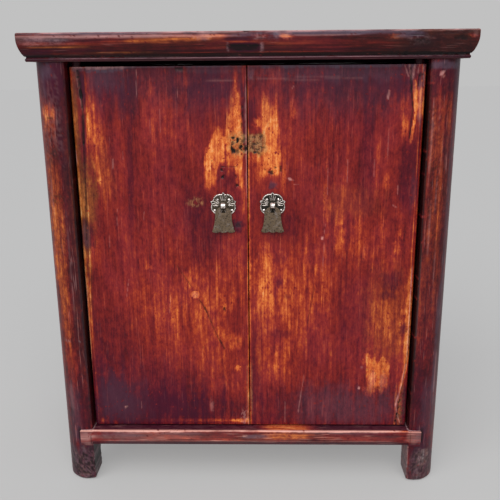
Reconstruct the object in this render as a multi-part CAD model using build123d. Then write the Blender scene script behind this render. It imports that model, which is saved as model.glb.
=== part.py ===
from build123d import *
import os
from math import cos, radians, sin, sqrt

# Kang cabinet: a low two-door cabinet of solid wood, held together by mortise and tenon.
# Millimetres. +X is the user's right, the doors face -Y, +Z is up.
# The origin is on the floor, at the centre of the top board's outline.

# ---- carcase -------------------------------------------------------------------------
case_width = 714.0         # across the posts, outside to outside
case_depth = 382.0         # front to back over the posts
total_height = 829.0       # floor to the upper face of the top

# ---- top: mitred frame with a moulded edge, and a floating panel ----------------------
top_thick = 45.0           # thickness of the frame members
top_overhang = 14.0        # the widest edge of the top past the posts
frame_width = 62.0         # width of each frame member
arris_round = 3.0          # worn upper edge
lip_height = 9.0           # upright lip from the upper face to the start of the ovolo
ovolo_inset = 9.0          # how far the ovolo draws in
quirk_inset = 1.8          # small groove between ovolo and bead
quirk_height = 2.0
bead_height = 5.5          # bead along the lower edge
bead_bulge = 1.5
panel_drop = 11.0          # upper face of the top down to the panel's tongue
tongue_thick = 7.0         # tongue of the top panel
tongue_length = 8.0
panel_gap = 0.8            # room for the panel to swell inside its frame
through_tenon_thick = 11.0  # tenons of the long members, seen at the ends of the top
through_tenon_width = 24.0
through_tenon_inset = 22.0  # from the long edge of the top to the tenon
through_tenon_rise = 15.0  # from the underside of the frame to the tenon
batten_x = 150.0           # battens under the top panel, from the centre
batten_width = 30.0
batten_height = 20.0
batten_bevel = 3.0
batten_neck = 21.0         # width of the dovetail at the panel's underside
batten_root = 26.0         # and at its bottom
dovetail_depth = 5.0       # of every dovetailed batten
batten_tenon_length = 12.0
batten_tenon_height = 11.0

# ---- posts: square inside, round outside ----------------------------------------------
post_width = 57.0
post_depth = 52.0
post_round = 42.0          # radius of the outer face
foot_chamfer = 5.0         # worn lower edge of each foot
stub_size = 12.0           # two stub tenons on each post, one for each frame member
stub_height = 12.0
stub_a_in = 17.0           # stub for the long member: from the inner face, and from the front
stub_a_back = 14.0
stub_b_in = 38.0           # stub for the short member
stub_b_back = 40.0

# ---- front bottom rail, lapped over the posts -------------------------------------------
rail_top = 110.0           # floor to the upper face of every bottom rail
rail_height = 32.5
rail_face_height = 21.5    # upright part of the front, above the undercut
rail_proud = 4.0           # in front of the posts
rail_undercut = 7.0        # how far the lower edge draws back
rail_depth = 50.0
rail_arris = 1.5
lap_reach = 23.0           # ends of the rail past the posts' inner faces
lap_thick = 14.0           # thickness of the lap over the posts
rail_tenon_thick = 14.0
rail_tenon_length = 26.0
rail_tenon_back = 28.0     # from the front of the rail to its tenon

# ---- side and back rails, panels --------------------------------------------------------
rail_setback = 6.0         # outer face of side and back rails, inside the posts' outer face
side_rail_thick = 26.0
side_rail_height = 38.0
head_rail_height = 40.0    # side and back rails under the top
tenon_thick = 10.0
tenon_length = 26.0
tenon_shoulder = 5.0       # above and below each tenon
panel_thick = 10.0
groove_depth = 8.0
back_board_count = 3
board_gap = 0.6            # shrinkage between neighbouring boards

# ---- floor and shelf ----------------------------------------------------------------------
floor_thick = 12.0
floor_seam_y = -12.0       # where the two floor boards meet
floor_bearer_width = 34.0
floor_bearer_height = 26.0
floor_bearer_tenon = 12.0
shelf_top = 431.0          # floor to the upper face of the shelf
shelf_thick = 13.0
shelf_seam_y = 14.0
shelf_bearer_width = 27.0
shelf_bearer_height = 24.0
shelf_bearer_tenon = 14.0
fit_gap = 0.5              # boards inside panels and round posts

# ---- doors ----------------------------------------------------------------------------------
door_setback = 15.0        # face of the doors behind the front of the posts
door_thick = 21.0
door_seam = 2.0            # between the two leaves
door_side_gap = 3.5        # between leaf and post
door_foot_gap = 3.5
door_head_gap = 8.0        # lets a leaf lift off its lower socket
door_stop_gap = 1.5        # back of the leaf to the front edge of floor and shelf
door_arris = 1.2
strip_width = 27.0         # hinge-side strip that carries the pins
strip_front_round = 4.5    # its outer front edge
strip_back_round = 9.0     # its outer back edge, which turns past floor and shelf
door_tongue_thick = 7.0
door_tongue_length = 8.0
pin_radius = 8.5
pin_clearance = 0.1        # running fit of the pins in their sockets
pin_end_gap = 0.3          # under the lower pin
upper_pin_length = 21.0
lower_pin_length = 9.0
pin_chamfer = 1.5
upper_socket_spare = 1.5   # air over the upper pin
leaf_batten_heights = (235.0, 655.0)
leaf_batten_height = 34.0
leaf_batten_thick = 14.0
leaf_batten_bevel = 4.0
leaf_batten_neck = 26.0    # height of the dovetail at the leaf's back
leaf_batten_root = 31.0    # and at its bottom
leaf_batten_edge = 3.0     # batten's end, from the meeting edge
leaf_batten_margin = 20.0  # batten's other end, from the hinge-side strip

# ---- pulls ------------------------------------------------------------------------------------
pull_x = 43.0              # from the centre of the cabinet
pull_z = 540.5
petal_count = 5
cusp_radius = 24.0         # points between the petals
petal_radius = 22.4        # petals at their middle
petal_foot_radius = 20.6   # petals beside the points
petal_foot_angle = 9.0
plate_thick = 1.2
rim_width = 2.2
rim_height = 1.2
vein_width = 1.6
vein_height = 0.9
vein_start = 6.5
vein_end = 20.5
boss_radius = 6.5
boss_height = 1.6
nail_places = ((10.0, 10.2), (15.1, -8.6))  # across and up from the plate's centre
nail_head_radius = 2.7
nail_crown_radius = 1.3
nail_head_height = 1.8
nail_shank = 1.6           # square shank
nail_shank_length = 13.0
staple_rise = 1.2          # centre of the staple's eye over the plate's centre
staple_width = 7.4
staple_thick = 1.4
eye_radius = 3.7           # inside of the eye
eye_stand = 0.2            # between the plate's boss and the eye
leg_gap = 0.3              # between the two legs
leg_turn = 17.0            # legs turned up and down behind the leaf
pendant_thick = 1.4
pendant_bar = 1.8          # bar of the pendant inside the eye
pendant_seat = 0.45        # bar over the inside of the eye
pendant_hole_width = 8.8
pendant_hole_height = 9.5
pendant_head_radius = 14.4
pendant_length = 44.0      # from the pin of the swing to the lower corners
pendant_foot_half = 20.2
scallop_count = 3
scallop_drop = 1.9

# ---- places worked out from the sizes above ---------------------------------------------------
half_width = case_width / 2
front_y = -case_depth / 2
back_y = case_depth / 2
top_half_x = half_width + top_overhang
top_half_y = case_depth / 2 + top_overhang
frame_under = total_height - top_thick
post_inner_x = half_width - post_width
post_back_y = front_y + post_depth
door_front_y = front_y + door_setback
door_back_y = door_front_y + door_thick
door_foot = rail_top + door_foot_gap
door_head = frame_under - door_head_gap
leaf_outer_x = post_inner_x - door_side_gap
leaf_inner_x = door_seam / 2
pivot_x = leaf_outer_x - door_thick / 2
pivot_y = door_front_y + door_thick / 2
strip_inner_x = leaf_outer_x - strip_width
side_outer_x = half_width - rail_setback
side_inner_x = side_outer_x - side_rail_thick
panel_outer_x = side_outer_x - (side_rail_thick - panel_thick) / 2
panel_inner_x = panel_outer_x - panel_thick
back_rail_y = back_y - rail_setback - side_rail_thick
back_panel_y = back_rail_y + (side_rail_thick - panel_thick) / 2
head_rail_under = frame_under - head_rail_height
stop_y = door_back_y + door_stop_gap
eye_outer = eye_radius + staple_thick
eye_z = pull_z + staple_rise
swing_z = eye_z - eye_radius + pendant_seat + pendant_bar / 2
eye_y = door_front_y - plate_thick - boss_height - eye_stand - eye_outer


def block(x_from, x_to, y_from, y_to, z_from, z_to):
    """A straight piece between two corners."""
    size = (x_to - x_from, y_to - y_from, z_to - z_from)
    centre = ((x_from + x_to) / 2, (y_from + y_to) / 2, (z_from + z_to) / 2)
    return Pos(*centre) * Box(*size)


def on_right(piece):
    """The mirrored twin of a left-hand piece."""
    return mirror(piece, about=Plane.YZ)


def prism(points, z_from, z_to):
    """An upright prism over a polygon in plan."""
    return extrude(Pos(0, 0, z_from) * make_face(Polyline(*points, close=True)), z_to - z_from)


def closed_face(lines):
    """Face inside a closed chain of lines and arcs."""
    return make_face(Wire([edge for line in lines for edge in line.edges()]))


def upper_arris(x, z, radius):
    """Rounded corner of a section between its upper face at z and its outer face at x."""
    middle = radius * (1 - sqrt(0.5))
    return ThreePointArc((x + radius, z), (x + middle, z - middle), (x, z - radius))


def batten_section(width, thick, bevel, neck, root):
    """Section of a sliding batten: across, and up from its seat to the dovetail's bottom."""
    half = width / 2
    outline = Polyline((-half, 0), (-half, bevel - thick), (bevel - half, -thick), (half - bevel, -thick),
                       (half, bevel - thick), (half, 0), (neck / 2, 0), (root / 2, dovetail_depth),
                       (-root / 2, dovetail_depth), (-neck / 2, 0), close=True)
    return make_face(outline)


# ---- top -----------------------------------------------------------------------------------------
def edge_section():
    """Section of a frame member: across from its outer edge, and up."""
    lip_foot = total_height - lip_height
    bead_top = frame_under + bead_height
    ovolo_foot = bead_top + quirk_height
    bead_root = ovolo_inset + quirk_inset
    groove_top = total_height - panel_drop
    groove_foot = groove_top - tongue_thick
    groove_root = frame_width - tongue_length
    bead_nose = (bead_root - bead_bulge, frame_under + bead_height / 2)
    lines = [
        upper_arris(0, total_height, arris_round),
        Line((0, total_height - arris_round), (0, lip_foot)),
        TangentArc((0, lip_foot), (ovolo_inset, ovolo_foot), tangent=(0, -1)),
        Polyline((ovolo_inset, ovolo_foot), (bead_root, ovolo_foot), (bead_root, bead_top)),
        ThreePointArc((bead_root, bead_top), bead_nose, (bead_root, frame_under)),
        Polyline((bead_root, frame_under), (frame_width, frame_under), (frame_width, groove_foot),
                 (groove_root, groove_foot), (groove_root, groove_top), (frame_width, groove_top),
                 (frame_width, total_height), (arris_round, total_height)),
    ]
    return closed_face(lines)


def long_bar():
    """Front member before its mitres: the section carried along X."""
    place = Plane(origin=(-top_half_x, -top_half_y, 0), x_dir=(0, 1, 0), z_dir=(1, 0, 0))
    return extrude(place * edge_section(), 2 * top_half_x)


def short_bar():
    """Left member before its mitres: the section carried along Y."""
    place = Plane(origin=(-top_half_x, top_half_y, 0), x_dir=(1, 0, 0), z_dir=(0, -1, 0))
    return extrude(place * edge_section(), 2 * top_half_y)


def through_tenon():
    """Room of the front member's tenon through the left end."""
    y_from = -top_half_y + through_tenon_inset
    z_from = frame_under + through_tenon_rise
    return block(-top_half_x, -top_half_x + frame_width, y_from, y_from + through_tenon_width,
                 z_from, z_from + through_tenon_thick)


def make_top_frame():
    """The four mitred members: front, back, left, right."""
    inner_x = top_half_x - frame_width
    inner_y = top_half_y - frame_width
    long_plan = [(-top_half_x, -top_half_y), (top_half_x, -top_half_y),
                 (inner_x, -inner_y), (-inner_x, -inner_y)]
    short_plan = [(-top_half_x, -top_half_y), (-inner_x, -inner_y),
                  (-inner_x, inner_y), (-top_half_x, top_half_y)]
    tenon = through_tenon() & short_bar()
    front = long_bar() & prism(long_plan, frame_under, total_height)
    front += [tenon, on_right(tenon)]
    end = short_bar() & prism(short_plan, frame_under, total_height)
    end -= [through_tenon(), mirror(through_tenon(), about=Plane.XZ)]
    return front, mirror(front, about=Plane.XZ), end, on_right(end)


def panel_batten(x):
    """Batten under the top panel, dovetailed into it and tenoned into the frame."""
    panel_under = total_height - panel_drop - tongue_thick
    inner_y = top_half_y - frame_width
    section = batten_section(batten_width, batten_height, batten_bevel, batten_neck, batten_root)
    place = Plane(origin=(x, inner_y, panel_under), x_dir=(1, 0, 0), z_dir=(0, -1, 0))
    bar = extrude(place * section, 2 * inner_y)
    tenon_foot = panel_under - (batten_height + batten_tenon_height) / 2
    reach = inner_y + batten_tenon_length
    tenon = block(x - tenon_thick / 2, x + tenon_thick / 2, -reach, reach,
                  tenon_foot, tenon_foot + batten_tenon_height)
    return bar + tenon


def make_top_boards(battens):
    """The floating panel: two boards that meet along the middle of the top."""
    inner_x = top_half_x - frame_width
    inner_y = top_half_y - frame_width
    groove_top = total_height - panel_drop
    panel_under = groove_top - tongue_thick
    reach = tongue_length - panel_gap
    boards = []
    for y_from, y_to in ((-inner_y, -board_gap / 2), (board_gap / 2, inner_y)):
        tongue_from = y_from - reach if y_from == -inner_y else y_from
        tongue_to = y_to + reach if y_to == inner_y else y_to
        face_from = max(y_from, -inner_y + panel_gap)
        face_to = min(y_to, inner_y - panel_gap)
        board = block(-inner_x - reach, inner_x + reach, tongue_from, tongue_to,
                      panel_under, groove_top)
        board += block(-inner_x + panel_gap, inner_x - panel_gap, face_from, face_to,
                       groove_top, total_height)
        boards.append(board - battens)
    return boards


# ---- posts and rails -------------------------------------------------------------------------------
def post_blank():
    """Front left post, before its mortises: flat inside, one round outer face."""
    plan = Pos(-half_width + post_width / 2, front_y + post_depth / 2) * Rectangle(post_width, post_depth)
    plan &= Pos(-half_width + post_round, front_y + post_round) * Circle(post_round)
    post = extrude(plan, frame_under)
    post = chamfer(post.faces().sort_by(Axis.Z)[0].edges(), foot_chamfer)
    for inward, back in ((stub_a_in, stub_a_back), (stub_b_in, stub_b_back)):
        x = -post_inner_x - inward
        y = front_y + back
        post += block(x - stub_size / 2, x + stub_size / 2, y - stub_size / 2, y + stub_size / 2,
                      frame_under, frame_under + stub_height)
    return post


def make_front_rail():
    """Front bottom rail: undercut below, lapped over the posts' round faces, tenoned behind."""
    rail_front = front_y - rail_proud
    rail_foot = rail_top - rail_height
    rail_back = rail_front + rail_depth
    face_foot = rail_top - rail_face_height
    reach = post_inner_x + lap_reach
    section = closed_face([
        upper_arris(rail_front, rail_top, rail_arris),
        Polyline((rail_front, rail_top - rail_arris), (rail_front, face_foot),
                 (rail_front + rail_undercut, rail_foot), (rail_back, rail_foot), (rail_back, rail_top),
                 (rail_front + rail_arris, rail_top)),
    ])
    place = Plane(origin=(-reach, 0, 0), x_dir=(0, 1, 0), z_dir=(1, 0, 0))
    bar = extrude(place * section, 2 * reach)
    post_room = block(-half_width, -post_inner_x, rail_front + lap_thick, rail_back, rail_foot, rail_top)
    bar -= [post_room, on_right(post_room)]
    tenon_reach = post_inner_x + rail_tenon_length
    tenon_front = rail_front + rail_tenon_back
    bar += block(-tenon_reach, tenon_reach, tenon_front, tenon_front + rail_tenon_thick,
                 rail_foot + tenon_shoulder, rail_top - tenon_shoulder)
    socket_depth = lower_pin_length - door_foot_gap + pin_end_gap
    return bar - pivot_sockets(rail_top - socket_depth, rail_top)


def pivot_sockets(z_from, z_to):
    """The two round sockets of the door pins, left and right."""
    radius = pin_radius + pin_clearance
    depth = z_to - z_from
    middle = (z_from + z_to) / 2
    return [Pos(side * pivot_x, pivot_y, middle) * Cylinder(radius, depth) for side in (-1, 1)]


def side_rail(z_from, z_to):
    """Left rail from the front post to the back post, with a tenon at each end."""
    rail = block(-side_outer_x, -side_inner_x, post_back_y, -post_back_y, z_from, z_to)
    middle = (panel_outer_x + panel_inner_x) / 2
    reach = tenon_length - post_back_y
    return rail + block(-middle - tenon_thick / 2, -middle + tenon_thick / 2, -reach, reach,
                        z_from + tenon_shoulder, z_to - tenon_shoulder)


def back_rail(z_from, z_to):
    """Back rail from post to post."""
    rail = block(-post_inner_x, post_inner_x, back_rail_y, back_rail_y + side_rail_thick, z_from, z_to)
    reach = post_inner_x + tenon_length
    return rail + block(-reach, reach, back_panel_y, back_panel_y + tenon_thick,
                        z_from + tenon_shoulder, z_to - tenon_shoulder)


def side_panel():
    """Left side panel, held in grooves of posts and rails."""
    reach = groove_depth - post_back_y
    return block(-panel_outer_x, -panel_inner_x, -reach, reach,
                 rail_top - groove_depth, head_rail_under + groove_depth)


def make_back_boards():
    """Upright back boards side by side, held in grooves all round."""
    reach = post_inner_x + groove_depth
    pitch = 2 * reach / back_board_count
    boards = []
    for index in range(back_board_count):
        x_from = -reach + index * pitch + board_gap / 2
        x_to = x_from + pitch - board_gap
        boards.append(block(x_from, x_to, back_panel_y, back_panel_y + panel_thick,
                            rail_top - groove_depth, head_rail_under + groove_depth))
    return boards


def inner_boards(z_from, z_to, seam_y):
    """Front and back board of a floor or shelf, notched round the posts."""
    reach = panel_inner_x - fit_gap
    rear = back_panel_y - fit_gap
    notch_x = post_inner_x - fit_gap
    notch_y = -post_back_y - fit_gap
    boards = []
    for y_from, y_to in ((stop_y, seam_y - board_gap / 2), (seam_y + board_gap / 2, rear)):
        board = block(-reach, reach, y_from, y_to, z_from, z_to)
        for side in (-1, 1):
            x_from, x_to = sorted((side * notch_x, side * half_width))
            board -= block(x_from, x_to, front_y, -notch_y, z_from, z_to)
            board -= block(x_from, x_to, notch_y, back_y, z_from, z_to)
        boards.append(board)
    return boards


def floor_bearer():
    """Bearer under the floor boards, from the front rail to the back rail."""
    y_from = front_y - rail_proud + rail_depth
    half = floor_bearer_width / 2
    bar = block(-half, half, y_from, back_rail_y, rail_top - floor_bearer_height, rail_top)
    return bar + block(-tenon_thick / 2, tenon_thick / 2, y_from - floor_bearer_tenon,
                       back_rail_y + floor_bearer_tenon,
                       rail_top - floor_bearer_height + tenon_shoulder, rail_top - groove_depth)


def shelf_bearer():
    """Left bearer of the shelf, tenoned into the front and back posts."""
    z_to = shelf_top - shelf_thick
    z_from = z_to - shelf_bearer_height
    x_from = -panel_inner_x + fit_gap
    x_to = x_from + shelf_bearer_width
    middle = (x_from + x_to) / 2
    reach = shelf_bearer_tenon - post_back_y
    bar = block(x_from, x_to, post_back_y, -post_back_y, z_from, z_to)
    return bar + block(middle - tenon_thick / 2, middle + tenon_thick / 2, -reach, reach,
                       z_from + tenon_shoulder, z_to - tenon_shoulder)


# ---- doors --------------------------------------------------------------------------------------------
def leaf_strip():
    """Left leaf's hinge-side strip: rounded outer edges, and a pin at each end."""
    middle = Pos(-(leaf_outer_x + strip_inner_x) / 2, pivot_y, (door_foot + door_head) / 2)
    strip = middle * Box(strip_width, door_thick, door_head - door_foot)
    outer_edges = strip.edges().filter_by(Axis.Z).group_by(Axis.X)[0].sort_by(Axis.Y)
    strip = fillet(outer_edges[0], strip_front_round)
    outer_back = strip.edges().filter_by(Axis.Z).group_by(Axis.X)[0].sort_by(Axis.Y)[-1]
    strip = fillet(outer_back, strip_back_round)
    strip -= leaf_tongue()
    for z_from, z_to in ((door_head, door_head + upper_pin_length),
                         (door_foot - lower_pin_length, door_foot)):
        pin = Pos(-pivot_x, pivot_y, (z_from + z_to) / 2) * Cylinder(pin_radius, z_to - z_from)
        tip = pin.edges().sort_by(Axis.Z)[-1 if z_from == door_head else 0]
        strip += chamfer(tip, pin_chamfer)
    return strip


def leaf_tongue():
    """Tongue of the left board in the groove of its strip."""
    half = door_tongue_thick / 2
    return block(-strip_inner_x - door_tongue_length, -strip_inner_x, pivot_y - half, pivot_y + half,
                 door_foot, door_head)


def leaf_batten(z, x_to):
    """Left leaf's batten at one height, up to x_to, with its dovetail in the board."""
    section = batten_section(leaf_batten_height, leaf_batten_thick, leaf_batten_bevel,
                             leaf_batten_neck, leaf_batten_root)
    x_from = -strip_inner_x + leaf_batten_margin
    place = Plane(origin=(x_from, door_back_y, z), x_dir=(0, 0, 1), z_dir=(1, 0, 0))
    return extrude(place * section, x_to - x_from)


def leaf_board(fittings):
    """Left leaf's wide board: battens' grooves, and holes for the pull's fittings."""
    board = block(-strip_inner_x, -leaf_inner_x, door_front_y, door_back_y, door_foot, door_head)
    meeting_arris = board.edges().filter_by(Axis.Z).group_by(Axis.X)[-1]
    board = fillet(meeting_arris, door_arris) + leaf_tongue()
    grooves = [leaf_batten(z, 0) for z in leaf_batten_heights]
    return board - grooves - fittings


# ---- pulls ---------------------------------------------------------------------------------------------
def on_face(x, z, outward):
    """Plane on the left leaf's face: local x across, local y up, local z towards the user."""
    return Plane(origin=(x, door_front_y - outward, z), x_dir=(1, 0, 0), z_dir=(0, -1, 0))


def polar(radius, angle):
    """Point at an angle in degrees."""
    return (radius * cos(radians(angle)), radius * sin(radians(angle)))


def flower():
    """Outline of the plate: round petals with a small point between each two."""
    step = 360 / petal_count
    lines = []
    for index in range(petal_count):
        cusp = 90 + index * step
        foot = polar(petal_foot_radius, cusp + petal_foot_angle)
        middle = polar(petal_radius, cusp + step / 2)
        far_foot = polar(petal_foot_radius, cusp + step - petal_foot_angle)
        lines.append(Line(polar(cusp_radius, cusp), foot))
        lines.append(ThreePointArc(foot, middle, far_foot))
        lines.append(Line(far_foot, polar(cusp_radius, cusp + step)))
    return closed_face(lines)


def pull_plate(holes):
    """Left flower plate: raised rim, ribs to the points, and a boss round the staple."""
    centre = on_face(-pull_x, pull_z, 0)
    outline = flower()
    rim = outline - offset(outline, -rim_width)
    plate = extrude(centre * outline, plate_thick)
    plate += extrude(centre * rim, plate_thick + rim_height)
    vein_length = vein_end - vein_start
    for index in range(petal_count):
        turn = Rot(0, 0, 90 + index * 360 / petal_count)
        rib = turn * Pos(vein_start + vein_length / 2, 0) * Rectangle(vein_length, vein_width)
        plate += extrude(centre * rib, plate_thick + vein_height)
    plate += extrude(centre * Circle(boss_radius), plate_thick + boss_height)
    return plate - holes


def pull_nails():
    """Left plate's four nails: low conical heads, square shanks driven into the board."""
    nails = []
    for across, up in nail_places:
        for side in (-1, 1):
            seat = on_face(-pull_x + side * across, pull_z + up, plate_thick)
            head = Cone(nail_head_radius, nail_crown_radius, nail_head_height)
            shank = Box(nail_shank, nail_shank, nail_shank_length)
            nail = Pos(0, 0, nail_head_height / 2) * head + Pos(0, 0, -nail_shank_length / 2) * shank
            nails.append(seat * nail)
    return nails


def staple_hole():
    """Room of the staple's two legs through plate and board."""
    half_height = leg_gap / 2 + staple_thick
    return block(-pull_x - staple_width / 2, -pull_x + staple_width / 2, eye_y, door_back_y,
                 eye_z - half_height, eye_z + half_height)


def pull_staple():
    """Left staple: a flat strip bent into an eye, its legs turned up and down behind the leaf."""
    leg_end = door_back_y + staple_thick
    leg_length = leg_end - eye_y
    legs = Pos(eye_y + leg_length / 2, eye_z) * Rectangle(leg_length, 2 * staple_thick + leg_gap)
    turned = Pos(leg_end - staple_thick / 2, eye_z) * Rectangle(staple_thick, 2 * leg_turn)
    slit = Pos(eye_y + leg_length / 2, eye_z) * Rectangle(leg_length, leg_gap)
    outline = Pos(eye_y, eye_z) * Circle(eye_outer) + legs + turned
    outline -= Pos(eye_y, eye_z) * Circle(eye_radius)
    outline -= slit
    place = Plane(origin=(-pull_x - staple_width / 2, 0, 0), x_dir=(0, 1, 0), z_dir=(1, 0, 0))
    return extrude(place * outline, staple_width)


def pull_pendant():
    """Left pendant: round head, waist and flared foot with a scalloped edge."""
    head_z = pendant_bar / 2 - pendant_head_radius
    foot_z = -pendant_length
    step = 2 * pendant_foot_half / scallop_count
    head = ThreePointArc((-pendant_head_radius, head_z), (0, pendant_bar / 2),
                         (pendant_head_radius, head_z))
    right = TangentArc((pendant_head_radius, head_z), (pendant_foot_half, foot_z), tangent=(0, -1))
    left = TangentArc((-pendant_head_radius, head_z), (-pendant_foot_half, foot_z), tangent=(0, -1))
    lines = [head, right]
    for index in range(scallop_count):
        x_from = pendant_foot_half - index * step
        lines.append(ThreePointArc((x_from, foot_z), (x_from - step / 2, foot_z - scallop_drop),
                                   (x_from - step, foot_z)))
    outline = closed_face(lines + [left])
    hole_middle = -pendant_bar / 2 - pendant_hole_height / 2
    outline -= Pos(0, hole_middle) * Rectangle(pendant_hole_width, pendant_hole_height)
    place = Plane(origin=(-pull_x, eye_y, swing_z), x_dir=(1, 0, 0), z_dir=(0, -1, 0))
    return extrude(place * outline, pendant_thick / 2, both=True)


# ---- assembly -------------------------------------------------------------------------------------------
def build_top():
    """The top's frame, boards and battens."""
    battens = [panel_batten(-batten_x), panel_batten(batten_x)]
    boards = make_top_boards(battens)
    left_posts = [post_blank(), mirror(post_blank(), about=Plane.XZ)]
    posts = left_posts + [on_right(post) for post in left_posts]
    sockets = pivot_sockets(frame_under, door_head + upper_pin_length + upper_socket_spare)
    front, back, left, right = make_top_frame()
    return {
        "top_frame_front": front - posts - battens - sockets,
        "top_frame_back": back - posts - battens,
        "top_frame_left": left - posts,
        "top_frame_right": right - posts,
        "top_board_front": boards[0],
        "top_board_back": boards[1],
        "top_batten_left": battens[0],
        "top_batten_right": battens[1],
    }


def build_carcase():
    """Posts, rails, panels, floor and shelf; each mortise and groove is cut by what fills it."""
    front_rail = make_front_rail()
    side_low = side_rail(rail_top - side_rail_height, rail_top)
    side_high = side_rail(head_rail_under, frame_under)
    back_low = back_rail(rail_top - side_rail_height, rail_top)
    back_high = back_rail(head_rail_under, frame_under)
    panel = side_panel()
    back_boards = make_back_boards()
    shelf_rest = shelf_bearer()
    floor_rest = floor_bearer()
    side_pieces = [side_low, side_high, panel, shelf_rest]
    front_post = post_blank() - [front_rail] - side_pieces
    back_post = mirror(post_blank(), about=Plane.XZ) - [back_low, back_high] - back_boards - side_pieces
    floor_boards = inner_boards(rail_top, rail_top + floor_thick, floor_seam_y)
    shelf_boards = inner_boards(shelf_top - shelf_thick, shelf_top, shelf_seam_y)
    nodes = {
        "front_bottom_rail": front_rail - floor_rest,
        "back_bottom_rail": back_low - back_boards - floor_rest,
        "back_top_rail": back_high - back_boards,
        "floor_bearer": floor_rest,
        "floor_board_front": floor_boards[0],
        "floor_board_back": floor_boards[1],
        "shelf_board_front": shelf_boards[0],
        "shelf_board_back": shelf_boards[1],
    }
    nodes.update({f"back_board_{index + 1}": board for index, board in enumerate(back_boards)})
    nodes.update(both_sides({
        "front_post": front_post,
        "back_post": back_post,
        "side_bottom_rail": side_low - panel,
        "side_top_rail": side_high - panel,
        "side_panel": panel,
        "shelf_bearer": shelf_rest,
    }))
    return nodes


def build_doors():
    """Both leaves with their battens and pulls."""
    nails = pull_nails()
    holes = nails + [staple_hole()]
    left = {
        "door_strip": leaf_strip(),
        "door_board": leaf_board(holes),
        "pull_plate": pull_plate(holes),
        "pull_staple": pull_staple(),
        "pull_pendant": pull_pendant(),
    }
    for name, z in zip(("door_batten_low", "door_batten_high"), leaf_batten_heights):
        left[name] = leaf_batten(z, -leaf_inner_x - leaf_batten_edge)
    nodes = both_sides(left)
    nodes["pull_nails_left"] = Compound(nails)
    nodes["pull_nails_right"] = Compound([on_right(nail) for nail in nails])
    return nodes


def both_sides(left_pieces):
    """Left-hand pieces and their mirrored twins, by name."""
    nodes = {f"{name}_left": piece for name, piece in left_pieces.items()}
    nodes.update({f"{name}_right": on_right(piece) for name, piece in left_pieces.items()})
    return nodes


def build_nodes():
    """Every sub-part by name."""
    return build_top() | build_carcase() | build_doors()


def main():
    """Write one STEP file for each node."""
    os.makedirs("parts", exist_ok=True)
    for name, piece in build_nodes().items():
        export_step(piece, f"parts/{name}.step")
        print(name)


main()
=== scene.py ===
# Kang cabinet, dressed: worn red lacquer over wood, bare wood inside and old brass pulls.
# Shapes are worked out in millimetres, in the part's own frame: +X is the user's right, the doors
# face -Y and +Z is up. A mesh is written in metres.
import logging
import math
from dataclasses import dataclass
from enum import Enum
from functools import cache
from typing import Callable, Iterable, Sequence

import bmesh
import bpy
import numpy as np
from mathutils import Matrix, Vector


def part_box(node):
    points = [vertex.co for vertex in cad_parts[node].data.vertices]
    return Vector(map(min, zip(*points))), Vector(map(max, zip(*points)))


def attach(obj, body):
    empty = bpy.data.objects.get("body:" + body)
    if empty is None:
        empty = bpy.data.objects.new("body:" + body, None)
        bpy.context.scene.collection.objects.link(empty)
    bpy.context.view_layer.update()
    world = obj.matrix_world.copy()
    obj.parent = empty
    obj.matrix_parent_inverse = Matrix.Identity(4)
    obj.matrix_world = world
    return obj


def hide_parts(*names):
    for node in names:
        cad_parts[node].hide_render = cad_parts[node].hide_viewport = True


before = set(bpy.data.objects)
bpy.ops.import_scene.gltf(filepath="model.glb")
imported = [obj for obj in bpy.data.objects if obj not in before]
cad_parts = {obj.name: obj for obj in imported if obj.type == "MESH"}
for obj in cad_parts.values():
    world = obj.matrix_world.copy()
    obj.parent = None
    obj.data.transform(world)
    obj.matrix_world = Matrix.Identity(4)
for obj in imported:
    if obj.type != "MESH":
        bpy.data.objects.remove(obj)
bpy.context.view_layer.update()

LOG = logging.getLogger("kang_cabinet")
MM = 0.001
MERGE = 0.002 * MM         # points nearer than this are one
CREASE = math.radians(40)  # edges sharper than this stay sharp
WORN, DARK, CUT, DUST, BROWN, SLATE, PALE = range(7)     # the values of a point: wear, with painted sky sheen and shade among them
CHANNELS = 7
MOST_WEAR = 1.6
WEAR = "wear"              # colour attribute: worn, dark, cut, and dust in alpha
TINT = "tint"              # colour attribute: brown, painted sky sheen, pale
ASHEN = (178, 138, 142)    # greyed dust
ROSY = (206, 152, 148)     # rubbed, greyed lacquer; on the top's arrises also a painted highlight
Array = np.ndarray
Material = bpy.types.Material
Node = bpy.types.Node
NodeTree = bpy.types.NodeTree
Socket = bpy.types.NodeSocket
Inputs = Iterable[tuple[int | str, object]]
Pair = tuple[float, float]
Triple = tuple[float, float, float]
Four = tuple[float, float, float, float]
Tint = tuple[int, int, int]    # display colour, 0 to 255
Row = tuple                    # values of a Patch, or of a Scratch


class Side(Enum):
    """Which half of the cabinet a piece is on."""

    LEFT = -1
    RIGHT = 1

    @property
    def word(self) -> str:
        """The side in small letters."""
        return self.name.lower()

    def named(self, piece: str) -> str:
        """Name of a piece on this side."""
        return f"{piece}_{self.word}"


class Grain(Enum):
    """The axis that the fibres of a piece of wood follow."""

    ACROSS = 0
    DEEP = 1
    UPRIGHT = 2


class Ends(Enum):
    """How the first and the last row of a grid are closed."""

    CAPPED = "a flat face over each"
    JOINED = "the last row meets the first"
    POINTS = "each row is already one point"


# ---- shapes ----
@dataclass(frozen=True)
class Extent:
    """Box of a part in millimetres."""

    low: Array
    high: Array

    @classmethod
    def of(cls, node: str) -> "Extent":
        """Box of a solid part of the frame."""
        low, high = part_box(node)
        return cls(np.array(low) / MM, np.array(high) / MM)


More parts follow.
